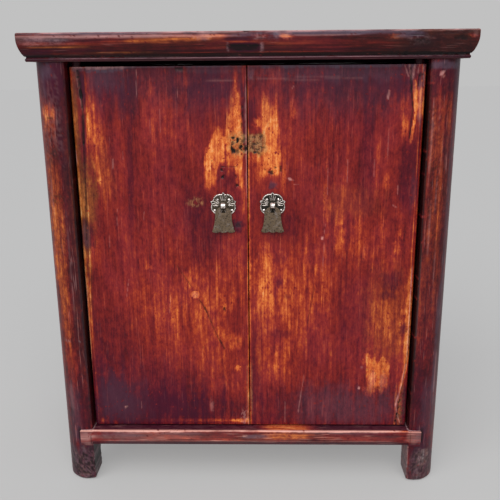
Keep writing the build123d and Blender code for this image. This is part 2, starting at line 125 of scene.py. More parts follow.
@dataclass
class Shell:
    """A closed surface: a grid of points whose rows run round it, and the wear of each point."""

    points: Array
    wear: Array
    ends: Ends = Ends.CAPPED

    @classmethod
    def worn(cls, points: Array, *values: Array | float, ends: Ends = Ends.CAPPED) -> "Shell":
        """A surface whose first wear values are given in order, with nothing in the others.

        Args:
            points: its grid.
            values: its wear: worn, dark, cut, dust.
            ends: how it is closed.

        Returns:
            The surface.
        """
        wear = plain_wear(points)
        for channel, value in enumerate(values):
            wear[..., channel] = value
        return cls(points, wear, ends)


def unit(value: Array) -> Array:
    """A value held between 0 and 1."""
    return np.clip(value, 0.0, 1.0)


def smooth(value: Array) -> Array:
    """Eases from 0 to 1: 3v² - 2v³ with v held between 0 and 1."""
    held = unit(value)
    return held * held * (3.0 - 2.0 * held)


def cloud(across: Array, along: Array, seed: int, octaves: int = 4) -> Array:
    """Seeded noise from about -1 to 1.

    Each octave holds random heights on a square lattice and blends the four round a point with
    the easing curve. The next octave is twice as fine and 0.55 as high.

    Args:
        across: first coordinate, in lattice steps.
        along: second coordinate, in lattice steps.
        seed: start of the random draws.
        octaves: how many lattices are added up.

    Returns:
        The noise at each point.
    """
    lattice, fall, gain = 64, 0.55, 1.6
    draw = np.random.default_rng(seed)
    total = np.zeros(np.broadcast(across, along).shape)
    weight, reach = 1.0, 0.0
    for octave in range(octaves):
        heights = draw.uniform(-1.0, 1.0, (lattice, lattice))
        u = across * 2.0**octave + draw.uniform(0, lattice)
        v = along * 2.0**octave + draw.uniform(0, lattice)
        i, j = np.floor(u).astype(int), np.floor(v).astype(int)
        a, b = smooth(u - i), smooth(v - j)
        near, far = (heights[(i + step) % lattice, j % lattice] * (1 - b)
                     + heights[(i + step) % lattice, (j + 1) % lattice] * b for step in (0, 1))
        total += weight * (near * (1 - a) + far * a)
        reach += weight
        weight *= fall
    return gain * total / reach


def shares(value: Array) -> Array:
    """Noise from -1 to 1 as a share from 0 to 1: half of it above a half."""
    return 0.5 + 0.5 * value


def arc(centre: Pair, radius: float, turn_from: float, turn_to: float, count: int) -> Array:
    """Points along an arc: centre + radius·(cos t, sin t), t in even steps between two angles in degrees."""
    turn = np.radians(np.linspace(turn_from, turn_to, count))
    return np.stack([centre[0] + radius * np.cos(turn), centre[1] + radius * np.sin(turn)], axis=-1)


def outline(corners: Sequence[tuple[float, ...]], step: float) -> Array:
    """Closed outline with rounded corners.

    A corner of radius r becomes an arc that touches both sides at r / tan(half the corner's
    angle). The straight run after a corner is cut into even steps.

    Args:
        corners: (a, b, radius) or (a, b, radius, step of the run that follows).
        step: longest step of the other runs.

    Returns:
        The outline's points, the first not repeated.
    """
    spots = np.array([corner[:2] for corner in corners], dtype=float)
    radii = np.array([corner[2] for corner in corners], dtype=float)
    steps = [corner[3] if len(corner) > 3 else step for corner in corners]
    back = np.roll(spots, 1, axis=0) - spots
    ahead = np.roll(spots, -1, axis=0) - spots
    back /= np.linalg.norm(back, axis=1, keepdims=True)
    ahead /= np.linalg.norm(ahead, axis=1, keepdims=True)
    half = np.arccos(np.clip((back * ahead).sum(axis=1), -1.0, 1.0)) / 2
    reach = radii / np.tan(np.maximum(half, 0.01))
    starts, ends = spots + back * reach[:, None], spots + ahead * reach[:, None]
    points = []
    for index, radius in enumerate(radii):
        if radius > 0:
            middle = back[index] + ahead[index]
            middle *= radius / math.sin(half[index]) / np.linalg.norm(middle)
            centre = spots[index] + middle
            swing = math.pi - 2 * half[index]
            share = np.linspace(0, 1, 6)[:, None]
            first, last = starts[index] - centre, ends[index] - centre
            points.append(centre + (np.sin((1 - share) * swing) * first
                                    + np.sin(share * swing) * last) / math.sin(swing))
        else:
            points.append(spots[index][None])
        goal = starts[(index + 1) % len(radii)]
        count = max(1, math.ceil(np.linalg.norm(goal - ends[index]) / steps[index]))
        share = np.linspace(0, 1, count + 1)[1:-1, None]
        points.append(ends[index] + share * (goal - ends[index]))
    return np.concatenate(points)


def outward(profile: Array) -> Array:
    """Unit normals of a closed profile: the tangent between both neighbours, turned from the inside.

    Args:
        profile: its points.

    Returns:
        The normals.
    """
    ahead, behind = np.roll(profile, -1, axis=0), np.roll(profile, 1, axis=0)
    tangent = ahead - behind
    normal = np.stack([tangent[:, 1], -tangent[:, 0]], axis=-1)
    normal /= np.maximum(np.linalg.norm(normal, axis=1, keepdims=True), 1e-9)
    area = (profile[:, 0] * ahead[:, 1] - ahead[:, 0] * profile[:, 1]).sum()
    return normal * np.sign(area)


def bend(profile: Array) -> Array:
    """How sharply a closed profile turns outwards: 0 on a flat run, 1 on a rounded edge.

    Args:
        profile: its points.

    Returns:
        The turning at each point.
    """
    normal = outward(profile)
    ahead, behind = np.roll(normal, -1, axis=0), np.roll(normal, 1, axis=0)
    chord = np.roll(profile, -1, axis=0) - np.roll(profile, 1, axis=0)
    length = np.maximum(np.linalg.norm(chord, axis=1), 0.05)
    turning = ((ahead - behind) * chord).sum(axis=1) / length**2
    return smooth(turning / 0.35)


def stations(start: float, end: float, step: float, rounding: float,
             dense: Sequence[Triple] = ()) -> Array:
    """Places along a piece: even steps, finer near both ends and within the dense spans.

    Args:
        start: first place.
        end: last place.
        step: longest step.
        rounding: length of the rounded ends.
        dense: spans as (from, to, step).

    Returns:
        The places in rising order.
    """
    tip = rounding * (1 - np.cos(np.linspace(0, math.pi / 2, 5)))
    spans = [np.linspace(start + rounding, end - rounding, math.ceil((end - start) / step) + 1),
             start + tip, end - tip]
    spans += [np.arange(low, high, fine) for low, high, fine in dense]
    return np.unique(np.round(np.concatenate(spans), 3))


def drawn_in(along: Array, rounding: float) -> Array:
    """Quarter round at both ends: r - sqrt(r² - (r - d)²) at a distance d below r from an end.

    Args:
        along: place of each row.
        rounding: the radius r.

    Returns:
        How far each row is drawn in.
    """
    near = np.minimum(along - along[0], along[-1] - along)
    left = np.clip(rounding - near, 0.0, rounding)
    return rounding - np.sqrt(rounding**2 - left**2)


def along_grain(pair: Sequence[Array], along: Array, grain: Grain) -> Array:
    """Puts two coordinates and the one along the grain in the order X, Y, Z.

    Args:
        pair: the two across the grain.
        along: the one along it.
        grain: the axis that it follows.

    Returns:
        The points.
    """
    parts = list(pair)
    parts.insert(grain.value, along)
    return np.stack(parts, axis=-1)


def carried(profile: Array, along: Array, inset: Array, grain: Grain) -> Array:
    """A closed profile carried straight along the grain.

    Formula: each row is the profile, shrunk about the middle of its box so that every side moves
    in by the row's inset.

    Args:
        profile: points of the section, in the two axes that the grain doesn't follow.
        along: place of each row.
        inset: how far each row is drawn in.
        grain: axis that the profile is carried along.

    Returns:
        Grid of points, rows by profile points by 3.
    """
    low, high = profile.min(axis=0), profile.max(axis=0)
    middle, half = (low + high) / 2, (high - low) / 2
    section = middle + (profile - middle) * (1 - inset[:, None, None] / half)
    place = np.broadcast_to(along[:, None], section.shape[:2])
    return along_grain((section[..., 0], section[..., 1]), place, grain)


def spread_normals(profile: Array, rows: int, grain: Grain) -> Array:
    """Normals of a carried profile's grid: the profile's own, with none along the grain.

    Args:
        profile: points of the section.
        rows: how many rows the grid has.
        grain: axis that the profile is carried along.

    Returns:
        The grid of normals.
    """
    flat = outward(profile)
    whole = along_grain((flat[:, 0], flat[:, 1]), np.zeros(len(flat)), grain)
    return np.broadcast_to(whole, (rows, len(flat), 3))


def plain_wear(points: Array) -> Array:
    """Wear of an untouched surface."""
    return np.zeros(points.shape[:-1] + (CHANNELS,))


def add_object(name: str, data: bpy.types.ID) -> bpy.types.Object:
    """Adds an object to the scene.

    Args:
        name: its name.
        data: its mesh, camera or light.

    Returns:
        The object.
    """
    made = bpy.data.objects.new(name, data)
    bpy.context.scene.collection.objects.link(made)
    return made


def write_piece(name: str, node: str, shells: Sequence[Shell], material: Material,
                body: str = "cabinet") -> None:
    """Makes one mesh piece of one or more closed surfaces, and hangs it on its body.

    Args:
        name: name of the piece.
        node: solid part that it stands for.
        shells: its surfaces, in millimetres.
        material: its finish.
        body: body of the frame that it moves with.
    """
    points, wear, faces, offset = [], [], [], 0
    for shell in shells:
        rows, columns = shell.points.shape[:2]
        index = np.arange(rows * columns).reshape(rows, columns) + offset
        upper = np.roll(index, -1, axis=0)
        if shell.ends is not Ends.JOINED:
            index, upper = index[:-1], upper[:-1]
        quads = np.stack([index, np.roll(index, -1, axis=1), np.roll(upper, -1, axis=1), upper], axis=-1)
        faces += quads.reshape(-1, 4).tolist()
        if shell.ends is Ends.CAPPED:
            faces += [index[0][::-1].tolist(), upper[-1].tolist()]
        points.append(shell.points.reshape(-1, 3))
        wear.append(shell.wear.reshape(-1, CHANNELS))
        offset += rows * columns
    mesh = bpy.data.meshes.new(name)
    mesh.from_pydata((np.concatenate(points) * MM).tolist(), [], faces)
    values = np.pad(np.concatenate(wear), ((0, 0), (0, 8 - CHANNELS))).astype(np.float32)
    for attribute, part in ((WEAR, values[:, :4]), (TINT, values[:, 4:])):
        mesh.attributes.new(attribute, "FLOAT_COLOR", "POINT").data.foreach_set("color", part.ravel())
    shape = bmesh.new()
    shape.from_mesh(mesh)
    bmesh.ops.remove_doubles(shape, verts=shape.verts, dist=MERGE)
    bmesh.ops.recalc_face_normals(shape, faces=shape.faces)
    shape.to_mesh(mesh)
    shape.free()
    mesh.shade_smooth()
    mesh.set_sharp_from_angle(angle=CREASE)
    mesh.materials.append(material)
    piece = add_object(name, mesh)
    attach(piece, body)
    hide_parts(node)
    LOG.info("%s: %d faces, on %s", name, len(mesh.polygons), body)


# ---- wear, and painted sheen and shade ----
@dataclass(frozen=True)
class Patch:
    """A worn, stained or chipped place on a face, or a painted shade, sheen or highlight: a soft block with
    frayed borders.
    """

    x: float
    z: float
    wide: float
    high: float
    strength: float
    soft: float = 0.9
    fray: float = 0.45
    grit: float = -1.0     # broken up where the speckle is below this
    lean: float = 0.0      # sideways for each step up

    def mask(self, x: Array, z: Array, noise: Array, speckle: Array) -> Array:
        """Strength over a face: the easing of 1 + fray·noise - r, where r³ adds both cubed distances.

        Args:
            x: places across the face.
            z: places up the face.
            noise: stretched noise, which frays large patches.
            speckle: fine noise, which frays small ones and breaks them up.

        Returns:
            The strength at each point.
        """
        across = np.abs(x - self.x - self.lean * (z - self.z)) * 2 / self.wide
        up = np.abs(z - self.z) * 2 / self.high
        reach = (across**3 + up**3) ** (1 / 3)
        torn = speckle if max(self.wide, self.high) < 26 else noise
        solid = smooth((1.0 + self.fray * torn - reach) / self.soft + 0.5)
        return self.strength * solid * smooth((speckle - self.grit) / 0.35 + 0.5)


@dataclass(frozen=True)
class Scratch:
    """A scratch or crack along a path of (x, z) points."""

    path: tuple[Pair, ...]
    wide: float
    strength: float

    def mask(self, x: Array, z: Array, noise: Array, speckle: Array) -> Array:
        """Strength over a face: eased down over its width from the nearest run of the path.

        Args:
            x: places across the face.
            z: places up the face.
            noise: widens and narrows it.
            speckle: makes it stronger and weaker.

        Returns:
            The strength at each point.
        """
        nearest = np.full(x.shape, 1e6)
        for (x0, z0), (x1, z1) in zip(self.path, self.path[1:]):
            run = math.hypot(x1 - x0, z1 - z0)
            share = unit(((x - x0) * (x1 - x0) + (z - z0) * (z1 - z0)) / run**2)
            away = np.hypot(x - x0 - share * (x1 - x0), z - z0 - share * (z1 - z0))
            nearest = np.minimum(nearest, away)
        return self.strength * smooth(1.4 + 0.5 * noise - nearest / (self.wide / 2)) * (0.7 + 0.3 * speckle)


def mark(row: Row) -> Patch | Scratch:
    """The mark that a row of values stands for: a scratch where it starts with a path."""
    return Scratch(*row) if isinstance(row[0], tuple) else Patch(*row)


@dataclass(frozen=True)
class Wear:
    """What the years did to one face, with painted sheen, highlights and shade among them, as rows of marks.
    Places are in millimetres on the face.
    """

    seed: int
    grain: Grain = Grain.UPRIGHT
    worn: tuple[Row, ...] = ()      # lacquer thinned or gone
    dark: tuple[Row, ...] = ()      # thick dark film, or soaked in; on the rail and beside the pendants, painted shade
    cut: tuple[Row, ...] = ()       # holes and gouges; along the front posts' inner edges, painted shade
    dust: tuple[Row, ...] = ()      # dirt in broken flecks
    brown: tuple[Row, ...] = ()     # browned instead of red
    slate: tuple[Row, ...] = ()     # bluish grey: a painted reflection of the sky
    pale: tuple[Row, ...] = ()      # scratches and rubbed edges, nearly white; along top edges and arrises also a painted highlight

    def channels(self, x: Array, z: Array) -> Array:
        """The wear values of points on the face.

        Args:
            x: places across the face.
            z: places up the face.

        Returns:
            Worn, dark, cut, dust, brown, sky sheen and pale in the last axis.
        """
        fine, long = 7.0, 80.0
        across, along = (x / fine, z / long) if self.grain is Grain.UPRIGHT else (z / fine, x / long)
        noise = cloud(across, along, self.seed) + 0.5 * cloud(x / 9.0, z / 9.0, self.seed + 7)
        speckle = cloud(x / 3.5, z / 3.5, self.seed + 1, 2)
        kinds = (self.worn, self.dark, self.cut, self.dust, self.brown, self.slate, self.pale)
        parts = [sum((mark(row).mask(x, z, noise, speckle) for row in rows), np.zeros(x.shape))
                 for rows in kinds]
        return np.clip(np.stack(parts, axis=-1), 0.0, MOST_WEAR)


# ---- finishes ----
def linear(red: int, green: int, blue: int) -> Four:
    """Display colour from 0 to 255 as linear light: ((c + 0.055) / 1.055) to the power 2.4."""
    parts = [c / 255 for c in (red, green, blue)]
    return tuple(c / 12.92 if c <= 0.04045 else ((c + 0.055) / 1.055) ** 2.4 for c in parts) + (1.0,)


class Sheet:
    """A node tree while it is drawn."""

    def __init__(self, tree: NodeTree) -> None:
        """Starts on an empty tree."""
        self.tree = tree
        tree.nodes.clear()

    def feed(self, node: Node, inputs: Inputs) -> None:
        """Links a node's inputs, given by place or name, to sockets, or sets them to values."""
        for key, value in inputs:
            if isinstance(value, Socket):
                self.tree.links.new(value, node.inputs[key])
            else:
                node.inputs[key].default_value = value

    def node(self, kind: str, inputs: Inputs = (), **settings: object) -> Node:
        """Adds a node.

        Args:
            kind: its type.
            inputs: what feeds its inputs.
            settings: its properties.

        Returns:
            The node.
        """
        made = self.tree.nodes.new(kind)
        for name, value in settings.items():
            setattr(made, name, value)
        self.feed(made, inputs)
        return made

    def math(self, operation: str, *values: object, clamp: bool = False) -> Socket:
        """One sum of one to three values."""
        return self.node("ShaderNodeMath", enumerate(values), operation=operation, use_clamp=clamp).outputs[0]

    def times(self, value: object, share: object, clamp: bool = False) -> Socket:
        """A value times another."""
        return self.math("MULTIPLY", value, share, clamp=clamp)

    def add(self, base: object, value: object, share: object, clamp: bool = False) -> Socket:
        """A base and a share of a value."""
        return self.math("MULTIPLY_ADD", value, share, base, clamp=clamp)

    def swung(self, base: object, *pairs: tuple[Socket, object]) -> Socket:
        """A base and shares of values that lie about a half, each counted from the half."""
        for value, share in pairs:
            base = self.add(base, self.math("SUBTRACT", value, 0.5), share)
        return base

    def blend(self, factor: object, first: object, second: object) -> Socket:
        """A colour between two colours."""
        values = zip((0, 6, 7), (factor, first, second))
        return self.node("ShaderNodeMix", values, data_type="RGBA").outputs[2]

    def between(self, factor: object, first: object, second: object) -> Socket:
        """A number between two numbers."""
        values = zip((0, 2, 3), (factor, first, second))
        return self.node("ShaderNodeMix", values, data_type="FLOAT").outputs[0]

    def noise(self, place: Socket, *figure: float) -> Socket:
        """Noise about 0.5 over a place in metres, by scale, detail, roughness and distortion."""
        names = ("Vector", "Scale", "Detail", "Roughness", "Distortion")
        return self.node("ShaderNodeTexNoise", zip(names, (place, *figure))).outputs["Fac"]

    def soft_step(self, value: Socket, low: float, high: float) -> Socket:
        """Eases from 0 to 1 as a value goes from low to high."""
        values = enumerate((value, low, high, 0.0, 1.0))
        return self.node("ShaderNodeMapRange", values, interpolation_type="SMOOTHSTEP").outputs[0]

    def ramp(self, value: Socket, *stops: tuple[float, int, int, int]) -> Socket:
        """Colour by value, straight between the stops.

        Args:
            value: the value.
            stops: place, red, green and blue of each stop.

        Returns:
            The colour.
        """
        made = self.node("ShaderNodeValToRGB", [(0, value)])
        band = made.color_ramp
        while len(band.elements) < len(stops):
            band.elements.new(1.0)
        for element, (place, *colour) in zip(band.elements, stops):
            element.position = place
            element.color = linear(*colour)
        return made.outputs[0]

    def group(self, tree: NodeTree, **inputs: object) -> Node:
        """Places a node group; an input's name has its spaces as underscores."""
        pairs = [(name.replace("_", " "), value) for name, value in inputs.items()]
        return self.node("ShaderNodeGroup", pairs, node_tree=tree)


def new_group(name: str, inputs: dict[str, float | str], outputs: dict[str, str]
              ) -> tuple[Sheet, dict[str, Socket], Callable[[str, Socket], None]]:
    """Starts a node group.

    Args:
        name: name of the group.
        inputs: each input's name with its first value, or the word for its kind.
        outputs: each output's name with the word for its kind.

    Returns:
        The sheet to draw on, the inputs' sockets by name, and a function that feeds an output.
    """
    kinds = {"float": "NodeSocketFloat", "colour": "NodeSocketColor", "vector": "NodeSocketVector"}
    tree = bpy.data.node_groups.new(name, "ShaderNodeTree")
    sheet = Sheet(tree)
    for key, value in inputs.items():
        kind = value if isinstance(value, str) else "float"
        made = tree.interface.new_socket(name=key, in_out="INPUT", socket_type=kinds[kind])
        if kind == "float":
            made.default_value = value
    for key, kind in outputs.items():
        tree.interface.new_socket(name=key, in_out="OUTPUT", socket_type=kinds[kind])
    entry, way_out = sheet.node("NodeGroupInput"), sheet.node("NodeGroupOutput")
    return (sheet, {key: entry.outputs[key] for key in inputs},
            lambda key, socket: sheet.feed(way_out, [(key, socket)]))


GRAIN_OUT = ("Fibres", "Streaks", "Bands", "Mottle", "Blotches", "Scratches", "Specks")


@cache
def grain_group() -> NodeTree:
    """Wood grain: fibres, streaks and bands along the grain, mottling and blotches that ignore it, flecks.

    Returns:
        The group.
    """
    sheet, given, put = new_group("Wood Grain", {"Along Grain": "vector", "Place": "vector"},
                                  dict.fromkeys(GRAIN_OUT, "float"))
    along, place = given["Along Grain"], given["Place"]
    for key, where, *figure in (
            ("Fibres", along, 330.0, 4.0, 0.75, 0.4), ("Streaks", along, 190.0, 4.0, 0.62, 0.3),
            ("Bands", along, 40.0, 3.0, 0.5, 0.6), ("Mottle", place, 150.0, 5.0, 0.85, 0.0),
            ("Blotches", place, 17.0, 4.0, 0.6, 0.0)):
        put(key, sheet.noise(where, *figure))
    put("Scratches", sheet.soft_step(sheet.noise(along, 430.0, 1.0, 0.5, 0.0), 0.66, 0.74))
    put("Specks", sheet.soft_step(sheet.noise(place, 300.0, 2.0, 0.5, 0.0), 0.68, 0.76))
    return sheet.tree


@cache
def lacquer_group() -> NodeTree:
    """Old lacquer: film, thin film, stained wood and raw wood by how worn a place is, with painted sky sheen
    and shade.

    Returns:
        The group.
    """
    still = ("Worn", "Dark", "Cut", "Dust", "Brown", "Slate", "Pale", "Flecks")
    sheet, given, put = new_group(
        "Worn Lacquer",
        {"Base": 0.36, "Contrast": 1.0, "Mottling": 0.6, **dict.fromkeys(GRAIN_OUT, 0.5),
         **dict.fromkeys(still, 0.0), "Dust Color": "colour", "Pale Color": "colour"},
        {"Color": "colour", "Roughness": "float", "Film": "float", "Height": "float"})
    fibres, streaks, bands, mottle, blotches, scratches, specks = (given[key] for key in GRAIN_OUT)
    swing = sheet.swung(0.0, (bands, 0.24), (streaks, 0.34), (fibres, 0.28), (mottle, given["Mottling"]),
                        (blotches, 0.26))
    worn = sheet.math("MINIMUM", given["Worn"], 1.0)
    border = sheet.times(worn, sheet.math("SUBTRACT", 1.0, worn))
    torn = sheet.times(sheet.math("SUBTRACT", streaks, 0.5), border)
    worn = sheet.add(worn, torn, 3.6, clamp=True)
    depth = sheet.times(given["Contrast"], sheet.add(0.95, worn, 0.35))
    tone = sheet.add(sheet.add(given["Base"], worn, 0.38), swing, depth)
    tone = sheet.add(sheet.add(tone, scratches, 0.08), given["Dark"], -0.13, clamp=True)
    colour = sheet.ramp(
        tone, (0.0, 34, 8, 12), (0.14, 62, 10, 17), (0.26, 91, 17, 21), (0.37, 117, 28, 25),
        (0.47, 137, 39, 27), (0.59, 167, 62, 31), (0.71, 200, 96, 44), (0.83, 226, 130, 62),
        (1.0, 242, 182, 124))
    crimson = sheet.ramp(
        tone, (0.0, 36, 8, 20), (0.26, 92, 17, 31), (0.47, 135, 38, 39), (0.59, 163, 60, 38),
        (0.71, 200, 96, 46), (0.83, 226, 130, 62), (1.0, 242, 182, 124))
    umber = sheet.ramp(
        tone, (0.0, 30, 14, 10), (0.26, 74, 32, 20), (0.47, 116, 60, 28), (0.59, 148, 82, 36),
        (0.71, 180, 106, 50), (1.0, 226, 176, 120))
    # the sheen input paints a reflection of the sky, mottled
    sheen = sheet.times(given["Slate"], sheet.add(0.2, mottle, 1.2), clamp=True)
    flecks = sheet.add(sheet.times(fibres, 0.6), mottle, 1.4)
    flecked = sheet.add(0.25, sheet.soft_step(flecks, 0.86, 1.16), 1.3)
    light = sheet.times(given["Pale"], sheet.add(0.2, fibres, 1.6))
    for factor, tint in (
            (sheet.times(sheet.soft_step(blotches, 0.4, 0.62), 0.75), crimson),
            (sheet.math("MINIMUM", given["Brown"], 1.0), umber),
            # Dark: dark film, and painted shade where the tables put it
            (sheet.times(given["Dark"], 0.5, clamp=True), linear(64, 10, 34)),
            # painted sky reflection, bluish grey
            (sheen, linear(82, 70, 84)),
            (sheet.times(given["Dust"], flecked, clamp=True), given["Dust Color"]),
            (sheet.add(light, scratches, given["Flecks"], clamp=True), given["Pale Color"]),
            (sheet.add(sheet.times(given["Cut"], 0.95), specks, 0.5, clamp=True), linear(20, 11, 12))):
        colour = sheet.blend(factor, colour, tint)
    put("Color", colour)
    film = sheet.math("SUBTRACT", 1.0, sheet.soft_step(tone, 0.46, 0.76))
    put("Film", film)
    rough = sheet.swung(sheet.between(film, 0.6, 0.36), (mottle, 0.3))
    put("Roughness", sheet.add(rough, given["Dust"], 0.2, clamp=True))
    height = sheet.add(sheet.times(fibres, 0.45), film, 0.6)
    height = sheet.add(sheet.add(height, streaks, 0.5), specks, -0.5)
    put("Height", sheet.add(height, mottle, 0.4))
    return sheet.tree


BARE_MASKS = ("Fibres", "Streaks", "Bands", "Blotches")


@cache
def bare_wood_group() -> NodeTree:
    """Bare aged wood: dark and light fibres, broad bands, and darkening by Age.

    Returns:
        The group.
    """
    sheet, given, put = new_group("Bare Wood", {"Age": 0.5, **dict.fromkeys(BARE_MASKS, 0.5)},
                                  {"Color": "colour", "Roughness": "float", "Height": "float"})
    fibres, streaks, bands, blotches = (given[key] for key in BARE_MASKS)
    tone = sheet.swung(0.62, (streaks, 1.1), (bands, 0.9), (fibres, 0.6), (blotches, 0.5))
    tone = sheet.add(tone, given["Age"], -0.42, clamp=True)
    put("Color", sheet.ramp(tone, (0.0, 40, 28, 22), (0.3, 84, 60, 44), (0.6, 132, 98, 68),
                            (1.0, 188, 152, 112)))
    put("Roughness", sheet.add(0.55, fibres, 0.3))
    put("Height", sheet.add(sheet.times(fibres, 0.5), streaks, 0.6))
    return sheet.tree


@cache
def patina_group() -> NodeTree:
    """Old brass: polished where it is rubbed, olive-brown film on the flats, dark in the hollows.

    Returns:
        The group.
    """
    sheet, given, put = new_group(
        "Brass Patina", {"Place": "vector", "Rubbed": 0.0, "Hollow": 0.0, "Film": 0.5},
        {"Color": "colour", "Roughness": "float", "Metal": "float", "Height": "float"})
    cloudy, grit, broad = (sheet.noise(given["Place"], *figure, 0.0) for figure in (
        (420.0, 4.0, 0.65), (2200.0, 2.0, 0.6), (130.0, 4.0, 0.7)))
    clean = sheet.math("SUBTRACT", sheet.add(given["Rubbed"], cloudy, 0.7), given["Film"])
    clean = sheet.soft_step(clean, 0.0, 0.75)
    colour = sheet.blend(clean, linear(106, 88, 68), linear(252, 240, 232))
    for factor, tint in (
            (sheet.soft_step(cloudy, 0.48, 0.62), (66, 54, 42)),
            (sheet.soft_step(broad, 0.5, 0.72), (128, 116, 108)),
            (sheet.times(given["Hollow"], 1.1, clamp=True), (36, 32, 24))):
        colour = sheet.blend(factor, colour, linear(*tint))
    put("Color", colour)
    put("Roughness", sheet.add(sheet.between(clean, 0.5, 0.24), grit, 0.22))
    put("Metal", sheet.between(clean, 0.55, 1.0))
    put("Height", sheet.add(cloudy, grit, 0.4))
    return sheet.tree


class Coat(Sheet):
    """A material while it is drawn, with its shader joined to the output."""

    def __init__(self, name: str) -> None:
        """Starts a material of this name."""
        self.material = bpy.data.materials.new(name)
        self.material.use_nodes = True
        super().__init__(self.material.node_tree)
        self.shader = self.node("ShaderNodeBsdfPrincipled")
        self.node("ShaderNodeOutputMaterial", [("Surface", self.shader.outputs[0])])

    def place(self) -> Socket:
        """The place on the piece, in metres."""
        return self.node("ShaderNodeTexCoord").outputs["Object"]

    def masks(self, attribute: str) -> tuple[Socket, ...]:
        """Red, green, blue and alpha of a colour attribute."""
        read = self.node("ShaderNodeAttribute", attribute_name=attribute).outputs
        return (*self.node("ShaderNodeSeparateColor", [(0, read["Color"])]).outputs[:3], read["Alpha"])

    def wood(self, grain: Grain, offset: float, keys: Sequence[str] = GRAIN_OUT) -> dict[str, Socket]:
        """The grain's masks, along fibres that run one way.

        Args:
            grain: axis that the fibres follow: along it the pattern is stretched.
            offset: shift in metres, so that each board has its own figure.
            keys: the masks to give.

        Returns:
            The masks by name.
        """
        place = self.place()
        long, half = ([share if axis == grain.value else 1.0 for axis in range(3)] for share in (0.045, 0.5))
        shift = (offset, offset * 0.7, offset * 0.4)
        along = self.node("ShaderNodeMapping", [("Vector", place), ("Scale", long), ("Location", shift)])
        eased = self.node("ShaderNodeMapping", [("Vector", place), ("Scale", half)])
        made = self.group(grain_group(), Along_Grain=along.outputs[0], Place=eased.outputs[0])
        return {key: made.outputs[key] for key in keys}

    def finished(self, effect: Node, relief: float, inputs: Inputs) -> Material:
        """Joins an effect to the shader, with its height as bump.

        Args:
            effect: placed group that puts out Color, Roughness and Height.
            relief: what the height stands for, in metres.
            inputs: the shader's other inputs.

        Returns:
            The material.
        """
        bump = self.node("ShaderNodeBump", [("Strength", 1.0), ("Distance", relief),
                                            ("Height", effect.outputs["Height"])])
        self.feed(self.shader, [("Base Color", effect.outputs["Color"]),
                                ("Roughness", effect.outputs["Roughness"]), ("Normal", bump.outputs[0])])
        self.feed(self.shader, inputs)
        return self.material


@dataclass(frozen=True)
class Lacquer:
    """Worn lacquer on a piece whose fibres run one way."""

    name: str
    grain: Grain
    base: float            # how thin the film is everywhere, from 0 to 1
    contrast: float = 1.0
    offset: float = 0.0
    mottling: float = 0.6
    dust: Tint = (162, 114, 74)
    brown: float = 0.0     # share of brown in the red
    flecks: float = 0.03   # strength of the fine pale scratches
    pale: Tint = (236, 182, 150)
    coat: float = 0.07     # weight of the clear coat on sound film
    coat_rough: float = 0.2
    gloss: float = 0.14
    relief: float = 0.00025

    def material(self) -> Material:
        """Draws the finish.

        Returns:
            The new material.
        """
        coat = Coat(self.name)
        worn, dark, cut, dust = coat.masks(WEAR)
        # the second tint mask is the painted sky sheen
        brown, slate, pale, _ = coat.masks(TINT)
        film = coat.group(
            lacquer_group(), Base=self.base, Contrast=self.contrast, Mottling=self.mottling, Worn=worn,
            Dark=dark, Cut=cut, Dust=dust, Brown=coat.math("ADD", brown, self.brown), Slate=slate, Pale=pale,
            Flecks=self.flecks, Dust_Color=linear(*self.dust), Pale_Color=linear(*self.pale),
            **coat.wood(self.grain, self.offset))
        return coat.finished(film, self.relief, [
            ("Coat Weight", coat.times(film.outputs["Film"], self.coat)),
            ("Coat Roughness", self.coat_rough), ("Specular IOR Level", self.gloss)])


@dataclass(frozen=True)
class BareWood:
    """Unfinished old wood."""

    name: str
    grain: Grain
    age: float
    offset: float = 0.0
    gloss: float = 0.3
    relief: float = 0.0003

    def material(self) -> Material:
        """Draws the finish.

        Returns:
            The new material.
        """
        coat = Coat(self.name)
        bare = coat.group(bare_wood_group(), Age=self.age, **coat.wood(self.grain, self.offset, BARE_MASKS))
        return coat.finished(bare, self.relief, [("Specular IOR Level", self.gloss)])


@dataclass(frozen=True)
class Brass:
    """Old brass with more or less film on it."""

    name: str
    film: float
    relief: float = 0.0001

    def material(self) -> Material:
        """Draws the finish.

        Returns:
            The new material.
        """
        coat = Coat(self.name)
        rubbed, hollow, *_ = coat.masks(WEAR)
        metal = coat.group(patina_group(), Place=coat.place(), Rubbed=rubbed, Hollow=hollow, Film=self.film)
        return coat.finished(metal, self.relief, [("Metallic", metal.outputs["Metal"])])


# ---- straight pieces ----
@dataclass(frozen=True)
class Plank:
    """A straight board or rail with eased edges and a planed surface."""

    node: str
    grain: Grain
    slot: str
    easing: float
    wave: float
    step: float
    seed: int

    def build(self, material: Material) -> None:
        """Makes the piece in its solid's box.

        Args:
            material: its finish.
        """
        box = Extent.of(self.node)
        axes = [axis for axis in range(3) if axis != self.grain.value]
        (a0, b0), (a1, b1) = box.low[axes], box.high[axes]
        easing = min(self.easing, (a1 - a0) / 4, (b1 - b0) / 4)
        profile = outline([(a, b, easing) for a, b in ((a0, b0), (a1, b0), (a1, b1), (a0, b1))], self.step)
        along = stations(box.low[self.grain.value], box.high[self.grain.value], self.step, easing)
        points = carried(profile, along, drawn_in(along, easing), self.grain)
        normals = spread_normals(profile, len(along), self.grain)
        run = points[..., self.grain.value]
        girth = points[..., axes[0]] + points[..., axes[1]]
        noise = cloud(girth / 25.0, run / 160.0, self.seed)
        points = points - normals * (self.wave * unit(shares(noise)))[..., None]
        worn = unit(bend(profile) * (0.35 + 0.5 * noise))
        worn += 0.35 * smooth(1.2 * cloud(girth / 45.0, run / 150.0, self.seed + 7) - 0.15)
        dark = smooth(cloud(girth / 60.0, run / 200.0, self.seed + 3)) * 0.5
        write_piece(self.node + "_worn", self.node, [Shell.worn(points, worn, dark)], material)


